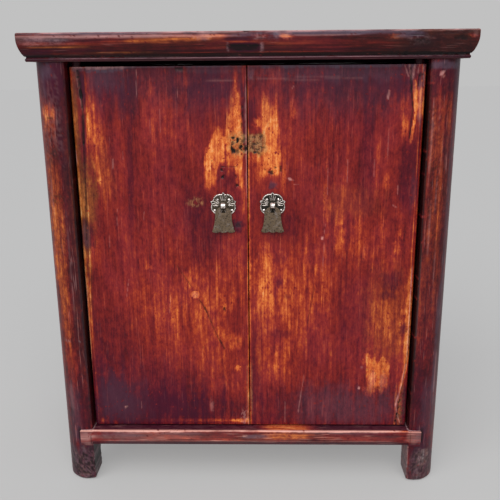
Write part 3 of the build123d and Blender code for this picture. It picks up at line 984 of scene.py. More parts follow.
# ---- top ----
# A patch row: x, z, wide, high, strength, soft, fray, grit, lean. A scratch row: path, wide, strength.
TIRED = ((0, 826, 900, 8, .25),)
GROOVES = ((0, 792.3, 900, 5, .9, .3, .1), (0, 786, 900, 4, .35, .3, .1))
TOP_FRONT = Wear(seed=31, grain=Grain.ACROSS, worn=(
    (-150, 816, 76, 10, .7), (-98, 818, 60, 9, .7), (-55, 820, 44, 7, .6), (-308, 806, 76, 1.8, .8),
    (-213, 797, 96, 1.6, .9), (-335, 801, 46, 2, .5), (-240, 812, 100, 6, .2),
    (-338, 815, 36, 8, .3, .9, .8), (-90, 796, 70, 1.6, .6), (195, 808, 96, 7, .3), (238, 818, 22, 9, .9),
    (160, 803, 130, 3, .3), (85, 808, 110, 7, .2), (-55, 806, 40, 8, .35), (75, 796, 110, 1.6, .5),
    (62, 821, 20, 10, 1), (358, 818, 12, 8, .5), (-50, 822, 54, 5, .5), (-10, 812, 50, 3, .4),
    (0, 786.5, 700, 1.2, .3), (20, 821, 18, 5, .6),
), dark=(
    (-2, 804, 50, 13, 1.6, .2, .15), (-12, 816, 44, 5, 1, .4, .3), (310, 804, 130, 40, .5),
    (262, 820, 40, 8, .8), (-290, 816, 120, 6, .5), (-290, 800, 140, 6, .5), (60, 800, 400, 4, .4),
    (150, 820, 20, 6, .6), (0, 786.5, 900, 6, 1, .3, .1), (-345, 795, 60, 14, .9),
), cut=(
    *GROOVES, (0, 828.5, 12, 3, .9, .5),
    (-4, 804, 46, 10, .9, .3, .2), (278, 812, 20, 8, .6), (345, 816, 24, 7, .7), (-303, 819, 40, 1.6, .5),
    (272, 820, 26, 1.6, .6), (22, 819, 6, 8, .5), (318, 806, 110, 34, .4, .9, .9, -.3),
    (-120, 799, 400, 1, .4), (120, 806, 300, 1, .4), (-230, 809, 200, 1, .4),
), dust=(
    (277, 813, 34, 12, .22, 1.2, .6, -.4), (25, 804, 5, 14, .3, .9, .3), (-30, 803, 4, 12, .45),
    (-330, 816, 70, 12, .16, .9, .5), (22, 821, 14, 8, .25, 1.2, .5, -.4),
), brown=(
    (-120, 816, 150, 12, .4), (-213, 797, 120, 3, .8), (-308, 806, 90, 4, .6), (310, 806, 140, 50, .9),
    (20, 805, 120, 20, .2),
# painted reflection of the sky on the upper bands and the bead
), slate=(
    (-222, 827, 200, 4, .9), (150, 825.5, 190, 7, 1, .9, .3), (262, 821, 40, 7, .6), (46, 820, 16, 10, .7),
    (-5, 823, 50, 6, .6), (-75, 826, 60, 3, .5), (0, 789, 600, 1.4, .5), (-325, 818, 60, 6, .4),
), pale=(
    (-230, 821.5, 300, 5, .24, .9, .3), (-230, 822.5, 290, 2.4, .25, .9, .6), (-70, 821, 24, 10, .2),
    # (0, 829): painted highlight along the top arris
    (-40, 826, 70, 4, .2), (0, 829, 720, 1.6, .5, .9, .8), (-50, 822, 60, 5, .2), (60, 822, 22, 9, .16),
    # (20, 788.4) and (0, 784.6): painted highlights along the bead
    (120, 821, 90, 2, .25), (20, 788.4, 500, .9, .3), (0, 784.6, 700, .8, .16), (364, 822, 8, 10, .1),
    (-338, 817, 50, 8, .08, .9, .9, .2), (245, 818, 24, 4, .1),
))
TOP_BACK = Wear(seed=32, grain=Grain.ACROSS, worn=TIRED, cut=GROOVES, dark=(
    (-100, 812, 300, 20, .4),
), dust=(
    (0, 814, 900, 60, .04),
))
TOP_ENDS = Wear(seed=33, grain=Grain.ACROSS, worn=(
    *TIRED, (-60, 808, 90, 7, .5), (90, 800, 70, 5, .4)), cut=GROOVES, dark=(
    (40, 812, 120, 18, .4),
), dust=(
    (0, 814, 900, 60, .04),
))


@dataclass
class Top:
    """The moulded, mitred frame of the top and its two boards."""

    frame_width: float = 62.0
    lip_height: float = 9.0
    arris: float = 3.0
    ovolo_inset: float = 9.0
    ovolo_foot: float = 7.5        # above the underside
    bead_root: float = 10.8
    bead_height: float = 5.5
    bead_nose: float = 9.3
    groove: Triple = (54.0, 11.0, 7.0)     # root from the edge, drop, width
    tenon_from_edge: Pair = (22.0, 46.0)
    tenon_rise: Pair = (15.0, 26.0)
    tenon_proud: float = 0.15
    tenon_shown: float = 30.0      # modelled length
    tenon_easing: float = 0.4
    board_under: float = 18.0
    board_gap: float = 0.8
    board_easing: float = 0.8
    board_seam: float = 0.3        # half the gap between the boards

    def __post_init__(self) -> None:
        """Takes the outline of the top from the frame, and the heights of its moulding."""
        box = Extent.of("top_frame_front")
        self.half_x, self.half_y = box.high[0], -box.low[1]
        self.over, self.under = box.high[2], box.low[2]
        self.lip, self.foot = self.over - self.lip_height, self.under + self.ovolo_foot

    def ovolo(self) -> Pair:
        """Radius of the ovolo, and the angle that it turns through in degrees.

        It leaves the lip upright, so with inset i and fall f its radius is (i² + f²) / 2i.

        Returns:
            Radius and angle.
        """
        fall = self.lip - self.under - self.ovolo_foot
        radius = (self.ovolo_inset**2 + fall**2) / (2 * self.ovolo_inset)
        return radius, math.degrees(math.asin(fall / radius))

    def section(self) -> Array:
        """Closed section of a member: distance in from the top's edge, and height.

        Returns:
            The section's points.
        """
        radius, turn = self.ovolo()
        curve = arc((radius, self.lip), radius, 180.0, 180.0 + turn, 18)[1:]
        nose_depth = self.bead_root - self.bead_nose
        half = self.bead_height / 2
        bead_radius = (half**2 + nose_depth**2) / (2 * nose_depth)
        sweep = math.degrees(math.asin(half / bead_radius))
        bead = arc((self.bead_nose + bead_radius, self.under + half), bead_radius,
                   180.0 - sweep, 180.0 + sweep, 9)[:-1]
        root, drop, width = self.groove
        upper, lower = self.over - drop, self.over - drop - width
        return outline([
            (self.frame_width, self.over, 0.6, 2.5), (0.0, self.over, self.arris, 1.5),
            (0.0, self.lip, 0.0, 1.5), *((a, b, 0.0, 1.8) for a, b in curve),
            (self.bead_root, self.foot, 0.0, 0.9), *((a, b, 0.0, 1.0) for a, b in bead),
            (self.bead_root, self.under, 0.0), (self.frame_width, self.under, 0.5),
            (self.frame_width, lower, 0.0), (root, lower, 0.0), (root, upper, 0.0),
            (self.frame_width, upper, 0.0)], 4.0)

    def member(self, grain: Grain, direction: int, wear: Wear) -> Shell:
        """One member between its two mitres.

        Formula: a point of the section, u in from the edge, lies at share·(half length - u) along
        the member and at half width - u away from the middle, so both ends are cut at 45 degrees.

        Args:
            grain: ACROSS for a long member, DEEP for an end member.
            direction: -1 for the front or left one, 1 for the back or right one.
            wear: wear, painted sheen and highlights of its outer face, by place along it and height.

        Returns:
            The member's surface.
        """
        section = self.section()
        inward, height = section[:, 0], section[:, 1]
        length, reach = (self.half_x, self.half_y) if grain is Grain.ACROSS else (self.half_y, self.half_x)
        share = stations(-length, length, 3.0, 0.0) / length
        along = share[:, None] * (length - inward)
        away = direction * np.broadcast_to(reach - inward, along.shape)
        level = np.broadcast_to(height, along.shape)
        state = wear.channels(along, level + inward * (height > self.over - 0.01))
        flat = outward(section)
        noise = cloud(along / 90.0, (level - inward) / 14.0, wear.seed + 9)
        fibres = cloud(along / 40.0, (level - inward) / 2.5, wear.seed + 11)
        edge = bend(section) * (height > self.lip)
        state[..., WORN] += unit(edge * (0.15 + 0.5 * noise))
        # pale along the rounded edges above the lip: rubbed lacquer and a painted highlight
        state[..., PALE] += unit(edge * (0.12 + 0.4 * fibres))
        relief = 0.22 * shares(noise) + 0.08 * fibres + 0.9 * state[..., CUT] + 0.12 * state[..., WORN]
        relief = np.where(inward < self.frame_width - 1.0, np.clip(relief, 0.0, None), 0.0)
        away = away + direction * relief * flat[:, 0]
        return Shell(along_grain((away, level - relief * flat[:, 1]), along, grain), state)

    def tenon_end(self, end: int, direction: int) -> Shell:
        """End of a long member's tenon, cut off along the moulding of the end member.

        Args:
            end: -1 for the left one, 1 for the right one.
            direction: -1 for the front one, 1 for the back one.

        Returns:
            The tenon's surface, from the moulding inwards.
        """
        radius, _ = self.ovolo()
        low, high = (self.under + rise for rise in self.tenon_rise)
        fall = np.degrees(np.arcsin((self.lip - np.array([high, low])) / radius))
        face = arc((radius, self.lip), radius + self.tenon_proud, *(180.0 + fall), 8)
        inside = self.tenon_shown
        profile = outline([(a, b, 0.0) for a, b in ((inside, high), *face, (inside, low))], 4.0)
        profile[:, 0] = end * (self.half_x - profile[:, 0])
        start, stop = (self.half_y - edge for edge in reversed(self.tenon_from_edge))
        along = direction * stations(start, stop, 4.0, self.tenon_easing)
        points = carried(profile, along, drawn_in(np.abs(along), self.tenon_easing), Grain.DEEP)
        return Shell.worn(points, 0.25, 0.5)

    def board(self, direction: int) -> Shell:
        """One board of the top, flush with the frame.

        Args:
            direction: -1 or 1, the way it lies from the middle.

        Returns:
            The board's surface.
        """
        reach_x, reach_y = (half - self.frame_width - self.board_gap for half in (self.half_x, self.half_y))
        low, high = sorted((direction * self.board_seam, direction * reach_y))
        foot = self.over - self.board_under
        profile = outline([(low, self.over, self.board_easing, 3.0), (high, self.over, self.board_easing),
                           (high, foot, 0.5), (low, foot, 0.5)], 5.0)
        along = stations(-reach_x, reach_x, 7.0, self.board_easing)
        points = carried(profile, along, drawn_in(along, self.board_easing), Grain.ACROSS)
        x, y = points[..., 0], points[..., 1]
        noise = cloud(y / 30.0, x / 200.0, 71 + direction)
        upper = points[..., 2] > self.over - 2
        points[..., 2] -= np.where(upper, 0.3 * unit(shares(noise)), 0.0)
        worn = np.where(upper, smooth(cloud(y / 40.0, x / 220.0, 73) * 0.8) * 0.45, 0.2)
        dark = np.where(upper, smooth(cloud(y / 70.0, x / 90.0, 75)) * 0.6, 0.0)
        return Shell.worn(points, worn, dark, 0.0, np.where(upper, 0.05, 0.5))

    def build(self) -> None:
        """Makes the four members and the two boards."""
        long, deep, flat = (
            Lacquer(f"Top {name}", grain, base, contrast, offset, mottling, dust=ASHEN, brown=0.3,
                    flecks=flecks, pale=ROSY).material()
            for name, grain, base, contrast, offset, mottling, flecks in (
                ("lacquer along", Grain.ACROSS, 0.2, 1.35, 0.0, 0.3, 0.1),
                ("lacquer deep", Grain.DEEP, 0.2, 1.35, 0.3, 0.3, 0.1),
                ("board lacquer", Grain.ACROSS, 0.22, 1.3, 0.8, 0.25, 0.08)))
        for word, direction, wear in (("front", -1, TOP_FRONT), ("back", 1, TOP_BACK)):
            shells = [self.member(Grain.ACROSS, direction, wear)]
            shells += [self.tenon_end(end, direction) for end in (-1, 1)]
            write_piece(f"top_{word}_moulded", f"top_frame_{word}", shells, long)
        for side in Side:
            write_piece(side.named("top_moulded"), side.named("top_frame"),
                        [self.member(Grain.DEEP, side.value, TOP_ENDS)], deep)
        for word, direction in (("front", -1), ("back", 1)):
            write_piece(f"top_board_{word}_flat", f"top_board_{word}", [self.board(direction)], flat)


# ---- posts and front rail ----
POST_LEFT = Wear(seed=41, worn=(
    (-333, 704, 22, 26, .7, .4, .6), (-338, 684, 10, 24, .5), (-333, 562, 28, 110, .45),
    (-334, 450, 24, 170, .5), (-333, 350, 22, 130, .5), (-333, 650, 26, 60, .25),
    (-329, 240, 18, 110, .25, 1.3), (-304, 600, 4, 360, .35),
), dark=(
    (-328, 772, 70, 90, 1.1), (-324, 750, 50, 70, .5, 1.2), (-310, 700, 20, 140, .4),
    (-311, 500, 18, 640, .6), (-330, 640, 40, 50, .4), (-328, 120, 70, 170, .7, 1.3),
    (-328, 30, 70, 110, 1.3), (-326, 99, 8, 34, 1.2, .3, .2),
), cut=(
    # (-301, 450): painted shade along the inner edge, by the gap to the leaf
    (-322, 300, 3, 14, .5), (-340, 150, 4, 8, .5), (-332, 694, 10, 3, .8), (-301, 450, 5, 680, .8, .6, .2),
    (-325.5, 99, 4, 30, .8, .4, .2), (-328, 630, 20, 30, .6, .9, .9, .2),
    (-328, 556, 16, 14, .6, .9, .9, .1), (-328, 34, 70, 66, .9, .9, .6, -.1),
    (-326, 480, 30, 60, .3, .9, .9, .3),
), dust=(
    (-328, 36, 70, 70, .12), (-330, 290, 26, 8, .3, .9, .9, .1),
), brown=(
    (-334, 500, 30, 420, .35), (-308, 500, 16, 640, .5), (-328, 40, 70, 80, .15),
# painted reflection of the sky, strongest at the top
), slate=(
    (-332, 772, 22, 30, .5), (-337, 742, 6, 50, .3), (-334, 140, 26, 130, .3), (-328, 36, 70, 76, .16),
    (-302, 300, 4, 280, .4),
), pale=(
    (-340, 560, 3, 60, .12), (-336, 170, 8, 60, .1), (-316, 450, 3, 200, .08),
    (-328, 680, 40, 110, .07, .9, .9, -.2), (-334, 36, 36, 60, .5, .9, .9, .5),
))
POST_RIGHT = Wear(seed=43, worn=(
    (322, 670, 34, 140, .15, 1.3), (323, 540, 24, 180, .1, 1.2), (338, 690, 6, 90, .3),
    (309, 650, 5, 110, .4), (313, 520, 4, 90, .35), (328, 330, 14, 160, .12, 1.3), (319, 760, 8, 8, .9),
    (306, 330, 5, 200, .3), (333, 52, 22, 32, .8, .2, .1), (315, 700, 2.4, 60, .5), (331, 600, 2.4, 90, .4),
    (320, 450, 2.4, 120, .35), (327, 500, 2.4, 100, .4),
), dark=(
    (326, 760, 70, 76, .8), (347, 500, 14, 640, .5), (335, 640, 12, 60, .5), (326, 130, 70, 180, .7, 1.3),
    (326, 300, 60, 240, .4, 1.3), (326, 30, 70, 110, 1), (326, 99, 8, 34, 1.2, .3, .2),
    (314, 640, 3, 130, .6), (322, 570, 3, 120, .6), (330, 665, 3, 110, .5), (318, 450, 3, 130, .5),
    (337, 480, 3, 140, .5),
), cut=(
    # (301, 450): painted shade along the inner edge, by the gap to the leaf
    (312, 533, 4, 12, .5), (301, 450, 6, 680, .9, .6, .2), (325.5, 99, 4, 30, .8, .4, .2),
    (315, 590, 12, 60, .4, .9, .9, .3), (326, 34, 70, 66, .7, .9, .6, -.1),
    (326, 600, 40, 300, .3, .9, .9, .5),
), dust=(
    (333, 52, 22, 32, .35, .2, .1), (326, 34, 60, 60, .15),
), brown=(
    (324, 520, 44, 480, .25), (333, 52, 24, 34, .9, .2, .1), (326, 30, 70, 70, .4),
# painted reflection of the sky, strongest at the top
), slate=(
    (322, 774, 50, 12, .7, .6, .3), (346, 560, 5, 420, .3), (336, 150, 26, 120, .25), (326, 36, 70, 76, .2),
    (342, 270, 6, 220, .35),
), pale=(
    (319, 760, 5, 7, .6), (330, 36, 30, 60, .25, .9, .9, .4), (333, 36, 22, 2, .3), (345, 220, 3, 120, .2),
    (303, 360, 1.6, 160, .2), (331, 690, 2, 40, .15), (321, 560, 1.6, 60, .15), (309, 640, 2.4, 100, .2),
    (318, 692, 2.2, 60, .2), (326, 630, 2.2, 90, .16), (336, 610, 2.2, 80, .14), (314, 500, 2.2, 90, .14),
    (328, 420, 2.2, 100, .12),
))
POST_REAR = Wear(seed=45, worn=(
    (0, 430, 720, 300, .3, 1.4, .9), (0, 680, 720, 90, .3, 1.2, .9),
), dark=(
    (0, 770, 900, 90, .5), (0, 60, 900, 200, .7),
), dust=(
    (0, 30, 900, 80, .25),
), brown=(
    (0, 400, 1400, 900, .6, .3),
))
RAIL_WEAR = Wear(seed=51, grain=Grain.ACROSS, worn=(
    (-312, 99, 26, 26, .25), (316, 99, 18, 26, .2), (30, 110, 90, 5, .8), (276, 110, 80, 4, .4),
    (-150, 97, 90, 8, .3), (-210, 106, 60, 4, .4), (160, 96, 140, 6, .35), (-60, 92, 70, 4, .4),
    (66, 100, 90, 14, .75), (-100, 109, 120, 3, .4),
), dark=(
    # (0, 80): painted shade over the undercut below the face
    (0, 80, 900, 13, 1.2), (-250, 99, 80, 12, .6), (-110, 102, 60, 8, .5), (230, 101, 90, 10, .5),
    (120, 92, 30, 6, .4),
), cut=(
    (-303, 92, 2, 24, .7), (303, 96, 2, 24, .5), (66, 98, 5, 4, .4), (-120, 101, 200, 1.2, .4),
    (180, 99, 200, 1.2, .4),
), brown=(
    (60, 100, 160, 20, .4),
# painted reflection of the sky
), slate=(
    (10, 99, 42, 8, .7, .5), (-250, 103, 90, 8, .5), (200, 106, 160, 4, .4), (-130, 105, 80, 5, .35),
    (-314, 100, 26, 24, .5), (318, 100, 16, 24, .4),
), pale=(
    # (0, 110): painted highlight along the upper arris
    (0, 110, 640, 3, .7, .9, .9), (10, 110, 90, 4, .4), (-314, 98, 30, 26, .22),
    (-200, 100, 200, 16, .1, .9, .3), (0, 99, 620, 24, .04, .9, .9), (311, 98, 32, 26, .15),
    (-10, 100, 6, 4, .3), (0, 89, 560, 1.2, .2),
))


@dataclass
class Posts:
    """Four legs: flat inside, one round outer face, worn at the foot."""

    round_radius: float = 42.0
    foot_chamfer: float = 5.0
    inner_edge: float = 1.8
    under_top: float = 784.0       # stubs above it go into the top
    inside_x: float = 302.0        # faces nearer the middle look inwards
    under_rail: float = 78.0
    worn_foot: float = 14.0        # height that the foot is rubbed thinner over
    scuffed: float = 26.0          # height that it is scuffed over

    def section(self, box: Extent) -> Array:
        """Plan of the front left post: its rectangle, cut by the circle that rounds the outer corner.

        Args:
            box: the post's box.

        Returns:
            The closed plan.
        """
        (outer, front), (inner, back) = box.low[:2], box.high[:2]
        radius = self.round_radius
        centre = (outer + radius, front + radius)
        start = math.degrees(math.acos((inner - centre[0]) / radius))
        end = 180.0 + math.degrees(math.asin((back - centre[1]) / radius))
        first, *curve, last = arc(centre, radius, -start, -end, 34)
        return outline([(inner, back, self.inner_edge), (*first, self.inner_edge),
                        *((*point, 0.0) for point in curve), (*last, 1.0)], 3.0)

    def shell(self, side: Side, direction: int, wear: Wear) -> Shell:
        """One post.

        Args:
            side: left or right.
            direction: -1 for a front post, 1 for a back post.
            wear: wear, painted sheen and shade by x and height.

        Returns:
            The post's surface.
        """
        profile = self.section(Extent.of("front_post_left"))
        along = stations(0.0, self.under_top, 3.5, 0.0, [(0.0, 12.0, 0.8)])
        inset = np.clip(self.foot_chamfer - along, 0.0, None) * 0.9
        inset += unit((self.worn_foot - along) / self.worn_foot) ** 2 * 0.8
        flip = np.array([-side.value, -direction, 1.0])
        points = carried(profile, along, inset, Grain.UPRIGHT) * flip
        normals = spread_normals(profile, len(along), Grain.UPRIGHT) * flip
        x, z = points[..., 0], points[..., 2]
        state = wear.channels(x, z)
        girth = np.cumsum(np.linalg.norm(np.diff(profile, axis=0, prepend=profile[:1]), axis=1))
        noise = cloud(girth / 16.0, z / 150.0, wear.seed + 5)
        fibres = cloud(girth / 3.0, z / 60.0, wear.seed + 6)
        scuffs = smooth((self.scuffed - z) / self.scuffed + 0.35 * fibres)
        state[..., WORN] += bend(profile) * 0.25 * (noise > 0.0)
        state[..., WORN] += 0.1 * scuffs
        state[..., DUST] += 0.07 * scuffs
        inside = (np.abs(x) < self.inside_x) & (z < self.under_rail)
        state[..., DUST] = np.where(inside, 0.35, state[..., DUST])
        relief = 0.35 * shares(noise) + 0.1 * fibres + 0.8 * state[..., CUT] + 0.2 * state[..., WORN]
        points = points - normals * np.clip(relief, 0.0, 1.6)[..., None]
        return Shell(points, np.clip(state, 0.0, MOST_WEAR))

    def build(self) -> None:
        """Makes the four posts."""
        finish = Lacquer("Post lacquer", Grain.UPRIGHT, base=0.29, contrast=1.3, offset=0.55, mottling=0.7,
                         dust=(142, 128, 128), brown=0.15, flecks=0.16, pale=ROSY).material()
        for side, front in ((Side.LEFT, POST_LEFT), (Side.RIGHT, POST_RIGHT)):
            for word, direction, wear in (("front", -1, front), ("back", 1, POST_REAR)):
                write_piece(side.named(f"{word}_post_round"), side.named(f"{word}_post"),
                            [self.shell(side, direction, wear)], finish)


@dataclass
class FrontRail:
    """Bottom rail, undercut below, with thin laps over the posts."""

    post_inner_x: float = 300.0
    reach: float = 323.0
    face_height: float = 21.5
    undercut: float = 7.0
    lap_thick: float = 14.0
    arris: float = 2.2
    rubbed_x: float = 70.0         # where the upper face is bare

    def build(self) -> None:
        """Makes the rail.

        Formula: the section is carried along X, and past the posts' inner faces its depth is
        scaled down to the lap's.
        """
        box = Extent.of("front_bottom_rail")
        front, back, low, high = box.low[1], box.high[1], box.low[2], box.high[2]
        profile = outline([(back, high, 0.8), (front, high, self.arris, 1.6),
                           (front, high - self.face_height, 1.4, 1.6), (front + self.undercut, low, 1.2),
                           (back, low, 0.8)], 4.0)
        inner = self.post_inner_x
        body = stations(-inner, inner, 3.0, 0.0)
        lap = stations(inner, self.reach, 1.6, 0.0)
        along = np.concatenate([-lap[::-1], body, lap])
        lap_depth = np.full(len(lap), self.lap_thick)
        depth = np.concatenate([lap_depth, np.full(len(body), back - front), lap_depth])
        tip = np.clip(1.2 - (self.reach - np.abs(along)), 0.0, None)
        points = carried(profile, along, tip, Grain.ACROSS)
        points[..., 1] = front + (points[..., 1] - front) * (depth / (back - front))[:, None]
        x, y, z = np.moveaxis(points, -1, 0)
        state = RAIL_WEAR.channels(x, z)
        noise = cloud(x / 70.0, (z + y) / 9.0, 53)
        edge = bend(profile) * (profile[:, 1] > high - 4)
        on_post = 1.0 * (np.abs(x) > inner - 2.0)
        state[..., WORN] += unit(edge * (0.3 + 0.5 * noise))
        state[..., WORN] *= 1.0 - 0.7 * on_post
        # pale along the upper arris: rubbed lacquer and a painted highlight, more over the posts
        state[..., PALE] += edge * (0.15 + 0.4 * on_post)
        bare = smooth(1.5 - np.abs(x - self.rubbed_x) / 50.0)
        upper = plain_wear(points)
        upper[..., WORN] = 0.8 * bare
        # painted shadow of the leaves on the upper face, except where it is rubbed bare and over the posts
        upper[..., DARK] = 1.2 * (1 - bare) * (1 - on_post)
        upper[..., DUST] = 0.6 * on_post + 0.05
        # on the laps' upper faces: painted sky sheen, with a little pale
        upper[..., SLATE], upper[..., PALE] = on_post, 0.1 * on_post
        state = np.where(((z > high - 0.6) & (y > front + self.arris))[..., None], upper, state)
        relief = 0.25 * shares(noise) + 0.6 * state[..., CUT] + 0.15 * state[..., WORN]
        facing = unit(-outward(profile)[:, 0])
        points[..., 1] += facing * np.clip(relief, 0.0, 1.5)
        finish = Lacquer("Rail lacquer", Grain.ACROSS, base=0.29, contrast=1.4, offset=0.15, mottling=0.5,
                         dust=ASHEN, brown=0.1, flecks=0.3, pale=(222, 164, 150))
        write_piece("front_rail_lapped", "front_bottom_rail", [Shell(points, state)], finish.material())


# ---- doors ----
LEAF_LEFT = Wear(seed=61, worn=(
    (-294, 716, 10, 110, .35), (-292, 600, 14, 320, .15), (-262, 738, 13, 60, .5, 1, .4),
    (-263, 690, 16, 74, .42, .9, .3, -1, .05), (-264, 642, 11, 104, .48, .9, .3, -1, -.08),
    (-253, 672, 14, 50, .25, 1.2, .5), (-293, 764, 12, 30, .4), (-274, 552, 24, 96, .3, 1.2),
    (-252, 600, 20, 150, .22, 1.2), (-256, 588, 8, 30, .25, 1.2), (-290, 568, 16, 60, .2),
    (-240, 560, 20, 60, .2, 1.4), (-140, 690, 110, 100, .22, 1.4), (-165, 742, 20, 24, .35),
    (-105, 752, 26, 20, .4), (-19.5, 738, 7, 64, .95), (-20, 700, 17, 76, 1, .6, .3),
    (-21, 668, 24, 50, 1, .6), (-53, 636, 32, 66, 1, .5, .25, -1, .14),
    (-63, 594, 20, 46, .65, .9, .4, -1, .02), (-22, 630, 28, 60, .9, .6), (-14, 592, 14, 40, .5),
    (-7, 545, 8, 62, .35), (-50, 688, 34, 50, .25), (-112, 325, 180, 230, .25, 1.4),
    (-118, 352, 60, 50, .16, 1.2), (-100, 320, 40, 64, .1), (-25, 286, 26, 30, .45), (-55, 300, 30, 24, .3),
    (-180, 350, 60, 80, .1), (-42, 358, 30, 50, .25), (-108, 405, 26, 40, .3), (-180, 428, 14, 10, .4),
    (-50, 230, 84, 110, .14), (-22, 231, 10, 10, .7), (-97, 376, 13, 13, 1.6, .2, 0), (-40, 400, 76, 84, .2),
    (-130, 470, 170, 64, .14, 1.5), (-280, 460, 30, 60, .3), (-85, 122.5, 170, 6, .75, 1.1, .7),
    (-20, 122, 36, 6, .9), (-280, 121, 12, 6, .6), (-297, 330, 6, 230, .7), (-293, 330, 10, 160, .6),
    (-3, 175, 5, 130, .4, .9, .9), (-75, 150, 12, 26, .4), (-145, 145, 14, 20, .4),
), dark=(
    (-200, 764, 240, 70, .8, 1.5), (-235, 730, 50, 74, .45), (-55, 752, 110, 70, .5, 1.4),
    (-6, 706, 7, 100, .9, .7), (-38, 588, 24, 34, .35, 1.3), (-70, 718, 70, 84, .5),
    (-203, 610, 9, 270, .65, .9, .45, -1, .03), (-198, 720, 30, 64, .4), (-276, 742, 8, 50, .9),
    # (-80, 485) and (-19, 503): painted shadow of the pendant on the leaf
    (-281, 620, 6, 140, .7), (-288, 490, 24, 46, 1.1), (-80, 485, 60, 90, .6, 1.2), (-19, 503, 22, 20, 1),
    (-90, 545, 56, 60, .3), (-200, 175, 220, 130, .8, 1.3), (-250, 160, 76, 96, .55),
    (-95, 148, 170, 48, .6), (-285, 250, 20, 200, .5), (-200, 150, 240, 90, .5, 1.5),
    (-235, 290, 64, 96, .35), (-135, 600, 10, 120, .2),
), cut=(
    (-24, 656, 6, 6, .9), (-17, 654, 4, 8, .9), (-12, 641, 7, 8, .9), (-25, 637, 5, 12, .9),
    (-3, 641, 5, 10, .8), (-15, 646, 24, 30, .7, .4, .3, .35), (-45, 604, 5, 5, 1), (-43, 591, 5, 6, 1),
    (-20, 591, 5, 5, 1), (-18, 576, 5, 5, 1), (-44, 598, 8, 14, .5, .9, .9, .2), (-18, 505, 12, 9, .7),
    (-112, 772, 12, 6, .8), (-45, 348, 5, 5, .9), (-21, 284, 4, 4, .6), (-235, 150, 3, 4, .6),
    (((-128, 430), (-103, 390)), 2.4, .9), (((-90, 366), (-78, 345), (-60, 298), (-46, 270)), 2.4, 1),
    (((-48, 608), (-18, 608)), 1.8, .7), (((-282, 768), (-280, 728)), 7, 1.2),
    (((-280, 738), (-278, 700), (-281, 650)), 3.4, 1.1), (((-281, 650), (-284, 560), (-288, 480)), 2.4, .8),
    (-9, 705, 4, 56, .8, .9, .9, .3),
), dust=(
    (-15, 646, 28, 34, .6, .4, .3, -.2), (-92, 547, 22, 12, .5, .9, .5, .1), (-4, 188, 3, 120, .3),
), brown=(
    (-293, 600, 18, 400, .8), (-276, 550, 26, 110, .8, 1.2), (-15, 646, 30, 36, .6),
    (-250, 600, 30, 100, .25, 1.4),
# painted reflection of the sky, mostly along the top edge
), slate=(
    (-150, 777, 300, 5, .7), (-250, 772, 90, 8, .6), (-238, 758, 46, 30, .24, 1.8), (-290, 485, 14, 30, .3),
    (-60, 770, 100, 10, .2), (-120, 742, 240, 70, .1, 1.6), (-245, 168, 80, 80, .26, 1.7),
    (-18, 505, 12, 12, .4),
), pale=(
    # (-150, 778) and (-250, 775.5): painted highlight along the top edge
    (-150, 778, 296, 2.6, .4, .9, .9), (-250, 775.5, 84, 5, .3, .9, .45, -1, -.02), (-296, 624, 3, 26, .6),
    (-97.5, 375.5, 12, 12, .12, .3, 0), (-2, 640, 2.6, 170, .25, .9, .9),
    (-282, 738, 3, 60, .2, .9, .45, -1, -.1), (-236, 150, 4, 3, .5), (-9, 130, 14, 26, .25, .9, .9, -.1),
    (-296, 320, 2.5, 220, .35), (-72, 155, 6, 20, .16, 1.2), (((-206, 162), (-206, 148)), 1.2, .35),
    (((-184, 770), (-186, 725)), 1, .28), (((-217, 405), (-223, 370)), 1, .24),
    (((-246, 495), (-247, 465)), 1.2, .28), (((-142, 372), (-146, 340)), 1, .21),
    (-42, 752.5, 44, 3, .09, .9, .2), (((-165, 690), (-166, 650)), .9, .15),
    (((-148, 705), (-148, 668)), .9, .14), (((-236, 660), (-237, 640)), 1.2, .21),
    (((-232, 622), (-233, 606)), 1.6, .24), (((-214, 636), (-214, 622)), 1, .24),
    (((-116, 742), (-117, 726)), 1, .17), (((-183, 530), (-184, 516)), 1.4, .21),
    (((-230, 535), (-232, 505)), .9, .17), (((-120, 585), (-120, 560)), .9, .13),
    (((-4, 470), (-4, 130)), .9, .21),
))
